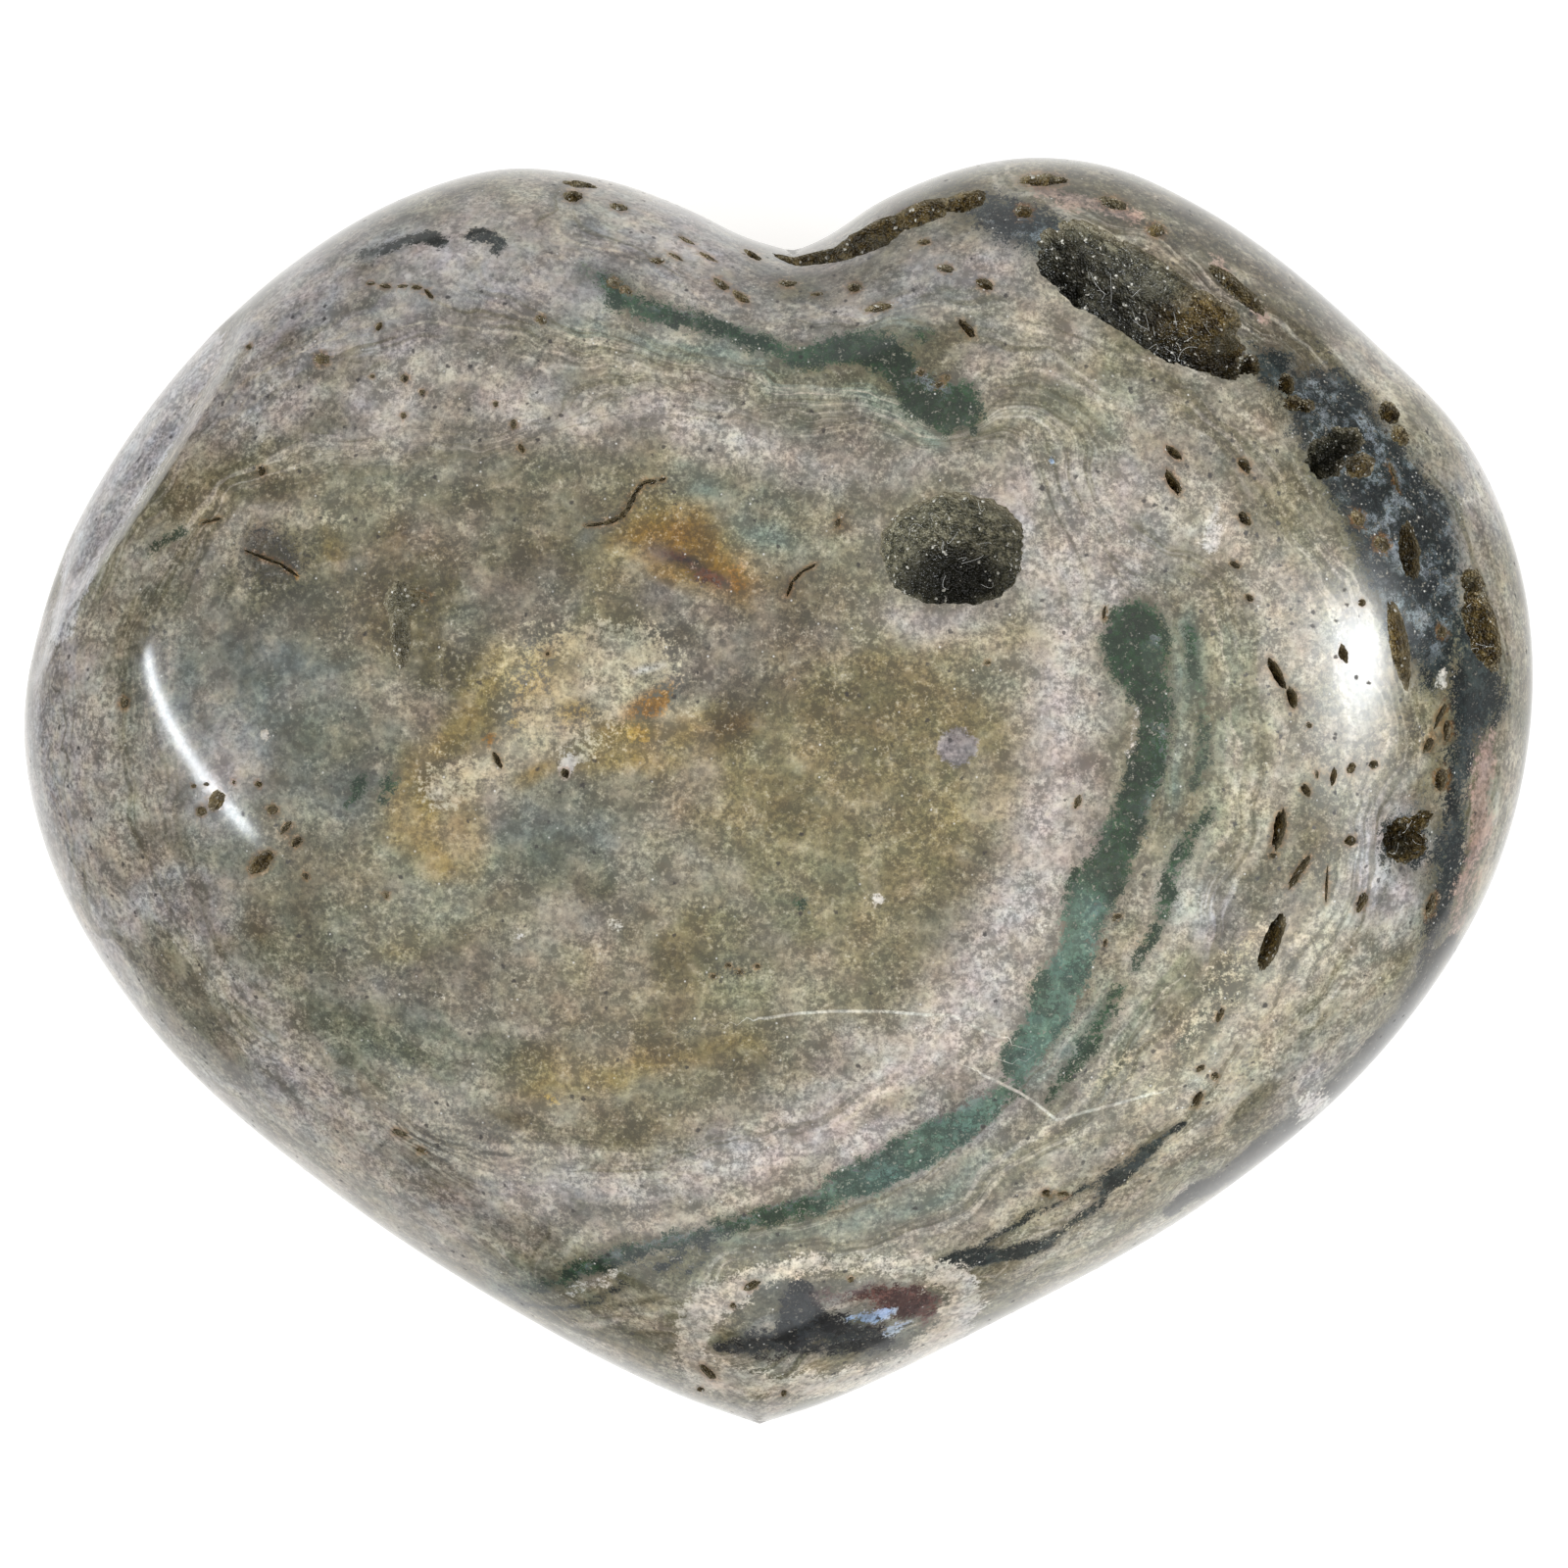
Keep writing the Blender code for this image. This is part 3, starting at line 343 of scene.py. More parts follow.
# Bands: across, up and half width along the middle line.
BANDS = {
    "pink": [
        [(15.4, 11.6, 1.1), (15.6, 8.7, 1.1), (15.4, 4.5, 1.6), (15.5, 0.4, 1.8), (14.3, -3.3, 1.9),
         (12.5, -6.9, 1.9), (10.7, -10.6, 2.1), (8.1, -13.9, 2.3), (4.5, -16.8, 2.1), (0.3, -18.9, 1.9),
         (-4.4, -20.5, 1.7), (-9.1, -21.9, 1.5), (-13.2, -22.4, 1.2), (-16.4, -22.5, 0.83)],
        [(-31.2, 19.1, 1.1), (-27.3, 19.9, 1.5), (-23.1, 20.1, 1.6), (-19, 20.6, 1.7), (-15.1, 20.9, 1.7),
         (-12.2, 19.5, 1.4), (-9.1, 19.7, 1.4), (-6, 20.1, 1.4), (-2.8, 19.5, 1.4), (0.3, 18.6, 1.1),
         (3.4, 17.5, 0.94)],
        [(-38, 0.4, 0.52), (-37.6, -2, 0.68), (-36.6, -4.7, 0.78), (-35.1, -7.8, 0.83),
         (-32.8, -10.8, 0.88), (-29.7, -13.5, 0.88), (-26.7, -16.1, 0.83), (-23.7, -18.2, 0.78),
         (-20.4, -20, 0.78), (-16.7, -21.7, 0.78)],
        [(-37.3, 8.7, 0.58), (-36.1, 2.4, 0.83), (-34.1, -3.8, 1), (-30.9, -9, 1.2), (-26.8, -13.7, 1.2),
         (-21.6, -17.9, 1.3), (-15.3, -20.7, 1.3), (-9.1, -22.1, 1.2)],
    ],
    "beige": [
        [(-37.1, 12.9, 0.42), (-38.1, 10.3, 0.47), (-38.4, 7.7, 0.52), (-38.5, 4.5, 0.57),
         (-38.4, 1.4, 0.62), (-37.9, -1.7, 0.42)],
        [(28.7, 24.8, 0.42), (31.5, 21.4, 0.42), (34.4, 17.5, 0.47), (36.7, 13.6, 0.47), (38.3, 9.7, 0.47),
         (39.1, 5.6, 0.47), (39.1, 1.4, 0.47), (38.5, -2.8, 0.47), (37.3, -6.4, 0.47), (35.2, -10.6, 0.47),
         (31.5, -14.7, 0.47)],
        [(-2.6, 26.4, 0.26), (-1.5, 25.3, 0.31), (-0.5, 24.5, 0.31)],
        [(13.3, 13.9, 0.52), (14.6, 9.7, 0.62), (14.9, 5.6, 0.62), (13.8, 0.9, 0.73), (12.8, -2.8, 0.73)],
    ],
    "pale_green": [
        [(23.6, 8.7, 0.36), (24.5, 5.6, 0.52), (24.4, 2.4, 0.52), (23.6, -0.7, 0.52), (22.6, -4.1, 0.47),
         (21.4, -7.4, 0.36), (20.1, -10.6, 0.31)],
        [(21.4, -7.4, 0.31), (20.3, -10.6, 0.42), (18.5, -13.7, 0.47), (16.9, -15.8, 0.42)],
        [(-12.2, -15.1, 0.21), (-10.1, -14.8, 0.21)],
    ],
    "teal_grey": [
        [(21.4, 8.7, 0.62), (21.7, 5.6, 0.73), (21.8, 2.4, 0.62), (21.1, -0.7, 0.62)],
        [(11.1, -20, 0.36), (8.1, -21.3, 0.47), (5.5, -21.9, 0.47), (2.4, -23, 0.31), (-0.8, -23.9, 0.26),
         (-3.9, -24.6, 0.21)],
        [(17.2, -10, 0.31), (16.2, -12.1, 0.42), (15.1, -13.9, 0.42), (13.8, -15.5, 0.42)],
        [(-10.6, 24.8, 0.31), (-8, 23.7, 0.42), (-3.9, 23.5, 0.42), (-0.8, 22.3, 0.42), (3.4, 21.8, 0.47),
         (5.8, 20.7, 0.52), (8.1, 18.6, 0.52)],
        [(-15.3, -25.7, 0.62), (-13.2, -26.4, 0.42)],
    ],
    "ochre": [
        [(-14.7, 7, 0.47), (-15.6, 5.6, 0.62), (-16.2, 4, 0.73), (-17.7, 2.4, 0.78), (-19.3, 1, 0.68),
         (-20.1, -0.9, 0.62), (-19.5, -2.6, 0.73)],
        [(-14.3, -16.8, 0.47), (-11.7, -15.3, 0.57), (-8, -14.6, 0.47), (-4.9, -14.5, 0.47),
         (-0.9, -13.8, 0.36)],
    ],
    "amber_heart": [
        [(-6.6, 13, 0.1), (-5.4, 12.7, 0.26), (-4.6, 12.3, 0.36), (-3.8, 11.8, 0.31), (-2.9, 11.2, 0.21)],
    ],
    "taupe_and_painted_cleft_shade": [
        [(15.4, 31.6, 0.62), (18.5, 29.9, 1.1), (21.6, 28.1, 1.8), (24.3, 26, 1.9), (26.6, 23.8, 1.7),
         (28.7, 21.4, 1.4)],
        [(30.5, 16.5, 0.42), (31.3, 12.9, 0.52), (31.5, 10.3, 0.62)],
    ],
    "slate": [
        [(10.7, 30.9, 0.62), (12.7, 30.1, 0.88), (14.4, 29.2, 1), (15.9, 28.4, 0.94), (17.5, 27.3, 0.52)],
        [(26.9, 21.6, 0.52), (29, 20.6, 1.9), (30.4, 18.1, 2.3), (31.9, 16, 2.5), (33.3, 14, 2.7),
         (33.8, 12.1, 2.6), (34.2, 10, 2.3), (34.7, 8.2, 1.7), (35.1, 6.1, 0.83)],
        [(37, 10.3, 0.52), (36.6, 8.2, 0.73), (37, 6.4, 1.4), (37.1, 4.8, 1.5), (36.6, 3.2, 1),
         (36.3, 1.7, 0.88), (36, -0.2, 0.78), (35.8, -2.2, 0.94), (35.6, -4.1, 0.83), (35.3, -5.9, 0.73),
         (34.7, -8, 0.47), (34.1, -9.3, 0.21)],
        [(32.3, -2, 0.36), (33, -1.3, 0.42), (34, -1, 0.42)],
    ],
    "slate_thin": [
        [(21.6, -17.6, 0.21), (20.1, -18.8, 0.31), (18.8, -19.7, 0.47), (17.7, -20.6, 0.42),
         (16.9, -21.9, 0.26), (15.3, -23.1, 0.26), (14.1, -24, 0.31), (12.8, -24.5, 0.36),
         (10.7, -24.8, 0.47), (9.4, -25, 0.47), (8.2, -25.2, 0.31)],
        [(-22.3, 28.3, 0.16), (-20.8, 28.9, 0.26), (-19.5, 29.2, 0.31), (-18.5, 29.4, 0.36),
         (-17.6, 29.1, 0.31)],
        [(-16.3, 29.5, 0.21), (-15.5, 29.6, 0.31), (-14.8, 29.2, 0.31), (-15.1, 28.7, 0.26)],
        [(-3.1, -24.2, 0.1), (-4.3, -24.6, 0.13), (-7.1, -25.6, 0.16), (-9.8, -27, 0.16),
         (-11.4, -27.6, 0.16), (-13.5, -27.3, 0.16), (-14.7, -26.3, 0.16)],
        [(-3.3, -24.9, 0.08), (-5.1, -25.8, 0.1), (-6.7, -27, 0.1)],
        [(20.1, -20.2, 0.16), (16.4, -21.1, 0.16), (13.3, -22.5, 0.16), (11.2, -23.9, 0.16)],
    ],
    "green": [
        [(18.5, 9.2, 0.73), (18.9, 8.7, 1.6), (18.9, 7.9, 1.8), (19.1, 6.7, 1.6), (19.7, 5.5, 1.2),
         (19.9, 4.4, 0.94), (19.9, 2.9, 0.99), (19.7, 1, 1), (19.2, -0.2, 0.94), (18.7, -1.4, 1),
         (17.9, -2.8, 1.1), (17.5, -4.1, 1.3), (16.5, -5.4, 1.4), (16, -7.4, 1.1), (15.8, -8.7, 1),
         (15.1, -10.2, 1.4), (14.2, -12, 1.2), (13.2, -13.6, 0.99), (12.7, -14.7, 0.88),
         (12.9, -15.9, 0.36)],
        [(11.8, -16.2, 0.68), (9.8, -17.5, 0.88), (7.8, -18.7, 0.99), (5.5, -20.1, 0.99),
         (3.7, -20.8, 0.78), (2, -21.9, 0.62), (-0.9, -22.7, 0.57), (-3.8, -23.5, 0.47), (-6, -24, 0.47),
         (-8, -24.6, 0.57), (-10.1, -25.3, 0.62), (-12.1, -26.2, 0.36), (-13.8, -26.4, 0.21)],
        [(-10.5, 27.8, 0.21), (-9.8, 27.4, 0.31), (-9, 26.9, 0.47), (-8, 26, 0.62), (-7.2, 25.5, 0.73),
         (-6, 25.3, 0.68), (-4.9, 25.1, 0.57), (-3.4, 24.6, 0.47), (-2.3, 24.4, 0.47), (-0.9, 23.7, 0.52),
         (0.4, 23.1, 0.57), (1.8, 23.1, 0.73), (3.6, 23.6, 0.94), (4.7, 23.6, 0.99), (5.8, 23, 1),
         (6.8, 22, 1), (7.8, 20.9, 1.2), (9, 20.4, 1.4), (9.9, 19.9, 0.94), (10.3, 19.3, 0.42)],
        [(9.9, 21.3, 0.52), (10.2, 20.6, 0.52)],
        [(7.3, 24.4, 0.26), (8, 24.2, 0.31)],
        [(23, -1.1, 0.21), (21.9, -2.2, 0.31), (21.1, -3.7, 0.47), (20.9, -5.1, 0.52), (20.5, -6.1, 0.47),
         (20, -7.4, 0.36), (19, -9.2, 0.26)],
        [(18.3, -10.3, 0.31), (17.5, -11.8, 0.42), (16.5, -13.4, 0.42), (15.3, -15.1, 0.36),
         (14.3, -16.4, 0.21)],
        [(-23, -0.8, 0.26), (-22.5, -0.1, 0.36), (-22, 0.7, 0.31)],
        [(-21.3, -0.4, 0.26), (-20.7, 0.4, 0.42), (-20.3, 1, 0.31)],
    ],
    "dusty_green": [
        [(21.8, 8.7, 0.36), (22, 7.4, 0.36), (22.4, 5.5, 0.31), (22.6, 3.8, 0.31), (22.5, 1.7, 0.36),
         (22.1, 0.1, 0.31)],
        [(-33.5, 12.7, 0.16), (-32.5, 13.3, 0.21), (-31.7, 13.8, 0.16)],
        [(23.3, -10.6, 0.21), (22.4, -12.1, 0.26), (21.4, -13.7, 0.26)],
    ],
    "teal": [
        [(15.8, -6.7, 0.42), (15.4, -8.1, 0.47), (14.9, -9.5, 0.83), (14.5, -10.8, 1), (13.9, -11.9, 0.94),
         (13.1, -13.2, 0.62), (12.8, -14.5, 0.57), (12.6, -15.3, 0.42)],
        [(11.3, -16.4, 0.42), (9.7, -17.3, 0.57), (7.8, -18.5, 0.62), (5.8, -19.5, 0.62),
         (4.5, -20.1, 0.42), (2.9, -21.1, 0.26)],
        [(18.3, 7.9, 0.47), (18.8, 7.2, 0.52)],
        [(-5.4, 25.1, 0.26), (-1.8, 24, 0.26), (1.1, 23.2, 0.31)],
        [(-7, -24.3, 0.21), (-9.1, -25, 0.26), (-10.9, -25.7, 0.21)],
    ],
    "tan_stripe": [
        [(37.7, 2.9, 0.36), (37.4, 0.4, 0.47), (37.2, -2.2, 0.42), (36.7, -4.8, 0.36), (35.9, -7.3, 0.31)],
        [(23.2, 28.4, 0.21), (24.5, 26.4, 0.31), (25.8, 25.2, 0.26)],
        [(13.8, 31.8, 0.42), (16.9, 31.2, 0.42), (19, 30.4, 0.31)],
    ],
    "orb_ring": [
        [(-4.9, -29.8, 0.73), (-4.6, -28.4, 0.94), (-3.6, -27.2, 0.94), (-2.1, -26.4, 0.78),
         (-0.5, -25.7, 0.57), (1.1, -25.3, 0.42), (2.9, -25.1, 0.36), (5.2, -25, 0.42), (7.6, -25.3, 0.57),
         (9.4, -25.9, 0.83), (9.9, -27, 1), (9.3, -28.3, 0.88), (8.1, -29.4, 0.62), (6.8, -30.2, 0.47),
         (5, -31, 0.47), (2.4, -31.6, 0.62), (-0.2, -31.6, 0.62), (-2.6, -31.3, 0.78), (-4.1, -30.8, 0.83),
         (-4.9, -29.8, 0.73)],
    ],
    "orb_dark": [
        [(0.6, -26.3, 0.36), (0.9, -27.2, 0.68), (1.3, -28.2, 0.78), (2.3, -28.8, 0.62), (3.3, -28.9, 0.42)],
        [(-3.1, -29.5, 0.31), (-1.8, -29.4, 0.47), (-0.2, -29.2, 0.57), (1.3, -29.4, 0.47),
         (3.4, -29.7, 0.31), (5.2, -29.8, 0.21)],
    ],
    "chalk": [
        [(18.9, 4.4, 0.08), (18.8, 3.2, 0.1), (18.6, 1.9, 0.08)],
    ],
    "druse": [
        [(20.3, 3.5, 0.26), (20.7, 2.9, 0.42), (20.6, 1.8, 0.36), (20.3, 0.4, 0.26), (19.8, -1.2, 0.26),
         (19, -2.9, 0.26)],
        [(17.3, -7.2, 0.21), (17.3, -8.7, 0.26), (17, -10, 0.26), (16.1, -11.6, 0.21), (15.5, -12.6, 0.21)],
        [(10.7, -15.9, 0.21), (8.1, -17.6, 0.26), (5.5, -19.3, 0.26), (2.9, -20.9, 0.21),
         (-0.2, -22.1, 0.16), (-4.3, -23.4, 0.16), (-7.5, -24.1, 0.21), (-10.6, -25.2, 0.21)],
        [(27.9, 20.9, 1.6), (30.5, 18.6, 2.3), (32, 16, 2.4), (33.3, 13.9, 2.5), (33.9, 11.8, 2.3),
         (34.2, 9.7, 1.9), (34.6, 8.2, 1)],
        [(11.3, 30.3, 0.52), (13.3, 29.5, 0.73), (15.4, 28.5, 0.83)],
    ],
    # Painted reflection: a pale band along the crease of the upper left flat.
    "pale_edge": [
        [(-30, 23.8, 0.62), (-32.8, 19.6, 1.2), (-35.2, 16, 1.4), (-37, 12.3, 0.88), (-38.2, 8.2, 0.42)],
    ],
    # Painted shade: a dark line along the lower right rim.
    "dark_spot_and_painted_rim_shade": [
        [(20.6, -22.3, 0.31), (24.5, -19.9, 0.47), (28.7, -16.7, 0.62), (32.6, -12.6, 0.57),
         (35.7, -8, 0.42)],
    ],
    "vein_core": [
        [(16.3, -6.7, 0.42), (15.8, -8.7, 0.62), (14.8, -11.9, 0.68), (13.4, -14.3, 0.47)],
        [(11, -17.1, 0.42), (9.2, -18.4, 0.62), (7.4, -19.6, 0.62), (5.3, -20.7, 0.47), (3.3, -21.4, 0.31)],
    ],
}
# Healed fractures: across, up.
SEAMS = [
    [(-0.9, -12.1), (1.1, -11.8), (2.8, -11.7), (5.5, -11.7), (8.1, -11.9), (9.2, -11.9), (10.8, -12.7),
     (11.8, -13.1)],
    [(10.7, -15), (11.3, -15.3), (12.8, -16), (13.7, -16.6), (14.8, -17.5), (16.1, -17.1), (17.7, -16.7),
     (20.1, -16)],
]
# Lines that the streaks follow, each with its place in the order of layers, in millimetres.
FLOW = [
    (16, [(-19, 17), (-4.9, 19.1), (10.7, 17), (12.8, 9.7), (11.7, 2.4), (10.2, -4.8), (7.1, -10.6),
          (1.3, -14.2), (-4.9, -15.8), (-12.2, -16.8), (-19, -16.3), (-24.7, -12.1), (-29.4, -4.8),
          (-31.5, 2.4), (-30.9, 8.7), (-28.3, 14.9), (-19, 17)]),
    (20, [(18.9, 7.9), (19.7, 5.5), (19.9, 2.9), (19.2, -0.2), (17.9, -2.8), (16.5, -5.4), (15.8, -8.7),
          (14.2, -12), (12.7, -14.7), (9.8, -17.5), (5.5, -20.1), (2, -21.9), (-3.8, -23.5), (-8, -24.6),
          (-12.1, -26.2)]),
    (22.5, [(21.9, 8.7), (22.6, 3.8), (21.9, -2.2), (20.5, -6.1), (19, -9.2), (17.5, -11.8), (15.3, -15.1),
            (13.3, -17.3), (9.9, -19.9), (5.5, -22.1), (-1.8, -24), (-7.1, -25.6), (-11.4, -27.6)]),
    (27, [(21.1, 17), (25.8, 10.8), (27.9, 3), (26.8, -4.8), (24.2, -10.6), (20.6, -15.8), (15.9, -20.5),
          (10.7, -23.8), (4.5, -25.1), (-1.8, -26.3)]),
    (33, [(11, 31), (21.4, 24.8), (27.4, 21.3), (33.6, 13.6), (36.5, 5.6), (36, 0.4), (34, -8.9),
          (30.5, -13.2), (25.8, -17.9), (20.1, -21.2), (12.8, -25.1)]),
    (38, [(14, 33.4), (21.1, 30.8), (27.9, 26.4), (34.1, 20.1), (38.3, 13.9), (39.8, 6.6), (39.1, -2.2),
          (35.7, -10.6), (29.4, -16.8), (21.1, -22.5), (10.7, -28.3), (0.3, -33.5)]),
    (24, [(-12.2, 20.1), (-25.7, 20.1), (-33.5, 13.9), (-37.2, 5.6), (-37.4, 0.4), (-35.6, -6.9),
          (-30.9, -13.2), (-24.2, -18.9), (-17.9, -23.6)]),
    (28, [(-12.2, 32.6), (-20.5, 30.8), (-30.9, 21.2), (-38.2, 10.8), (-39.8, 2.4), (-37.2, -8),
          (-29.9, -16.3), (-20.5, -24.1), (-10.1, -30.1)]),
    (30, [(-10.6, 27.8), (-6.8, 25.3), (-1.2, 23.8), (2.5, 23.4), (5.8, 23.1), (8.6, 20.7)]),
    (33.5, [(-10.1, 31.6), (-4.9, 29.5), (-0.2, 26.4), (4.5, 26.4), (9.7, 28.5), (13.3, 30.8)]),
]
# Hollows: name, across, up, half length, half width, depth, turn, lean, fineness, kind of wall.
VUGS = [
    ("round vug", 9.24, 12.91, 3.75, 2.91, 3.5, 0, (0.1, -0.34), 6, "dark"),
    ("long vug middle", 18.5, 26.08, 4.68, 1.67, 2.6, -33, (-0.1, -0.1), 6, "dark"),
    ("long vug left", 15.59, 28.05, 2.29, 1.35, 3, -38, (-0.15, -0.15), 5, "dark"),
    ("long vug deep left", 16.32, 26.49, 2.71, 0.83, 5, -36, (-0.3, -0.3), 5, "dark"),
    ("long vug deep middle", 20.07, 24.05, 2.39, 0.78, 4.4, -36, (-0.3, -0.3), 5, "dark"),
    ("long vug deep right", 23.19, 22.75, 1.77, 0.68, 4.6, -14, (-0.25, -0.3), 5, "amber"),
    ("long vug right", 22.46, 24.05, 2.6, 1.46, 2.8, -22, (-0.1, -0.15), 5, "amber"),
    ("long vug shelf", 19.54, 27.64, 3.12, 1.04, 1.2, -33, (0, 0), 5, "dark"),
    ("long vug top", 16.53, 29.51, 1.77, 0.68, 0.9, -25, (0, 0), 4, "dark"),
    ("long vug shelf right", 23.19, 25.45, 1.56, 0.78, 1.2, -35, (0, 0), 5, "amber"),
    ("long vug end", 25.11, 22.64, 0.62, 0.47, 1.4, -70, (0, 0), 4, "amber"),
    ("upper slit", 24.39, 26.65, 1.87, 0.47, 1.5, -42, (0, 0), 4, "amber"),
    ("upper slit pit", 23.24, 25.71, 0.47, 0.42, 1, -42, (0, 0), 4, "amber"),
    ("chain a", 26.99, 21.65, 0.62, 0.42, 1.8, -80, (0, 0), 4, "amber"),
    ("chain b", 27.35, 20.61, 0.52, 0.42, 0.9, 0, (0, 0), 4, "amber"),
    ("chain c", 28.08, 20.46, 0.42, 0.36, 0.9, 0, (0, 0), 4, "amber"),
    ("right vug a", 29.12, 17.7, 1.04, 1.09, 2.7, 0, (-0.1, -0.1), 5, "dark"),
    ("right vug b", 30.16, 18.63, 0.99, 0.78, 2.1, 10, (-0.1, -0.1), 5, "dark"),
    ("right vug c", 30.89, 17.28, 0.88, 0.68, 0.8, 20, (0, 0), 4, "amber"),
    ("pocket a", 32.45, 20.09, 0.62, 0.57, 1.5, -50, (0, 0), 4, "amber"),
    ("pocket b", 33.03, 18.89, 0.57, 0.47, 0.6, -50, (0, 0), 4, "amber"),
    ("dark slit", 33.55, 12.75, 1.51, 0.57, 2, -84, (-0.1, 0), 4, "amber"),
    ("rim pocket top", 36.88, 11.09, 0.78, 0.62, 1.6, -60, (0, 0), 4, "amber"),
    ("rim pocket", 37.45, 8.64, 2.24, 0.94, 2.4, -72, (-0.1, 0), 5, "amber"),
    ("green slit", 32.97, 7.91, 2.29, 0.52, 0.9, -80, (0, 0), 4, "amber"),
    ("lower pocket", 33.44, -2.65, 1.2, 1.15, 3, 0, (-0.05, -0.05), 5, "amber"),
    ("lower pocket top", 34.27, -1.61, 0.73, 0.47, 1.4, 35, (0, 0), 4, "amber"),
    ("tan slit", 26.21, -8.07, 1.61, 0.47, 1.8, 68, (0, 0), 4, "tan"),
    ("crystal slit", -19.96, 10.15, 1.01, 0.94, 0.9, 0, (0, 0), 4, "dark"),
    ("crystal slit tail", -20.12, 8.59, 2.03, 0.55, 0.7, -85, (0, 0), 4, "dark"),
    ("cleft groove a", 2.26, 28.37, 2.5, 0.42, 1.2, 8, (0, 0), 4, "amber"),
    ("cleft groove b", 4.87, 29.51, 2.19, 0.73, 1.8, 27, (0, 0), 4, "amber"),
    ("cleft groove c", 7.47, 30.71, 1.87, 0.62, 1.6, 20, (0, 0), 4, "amber"),
    ("cleft groove d", 9.86, 31.33, 1.25, 0.57, 1.4, 15, (0, 0), 4, "amber"),
]
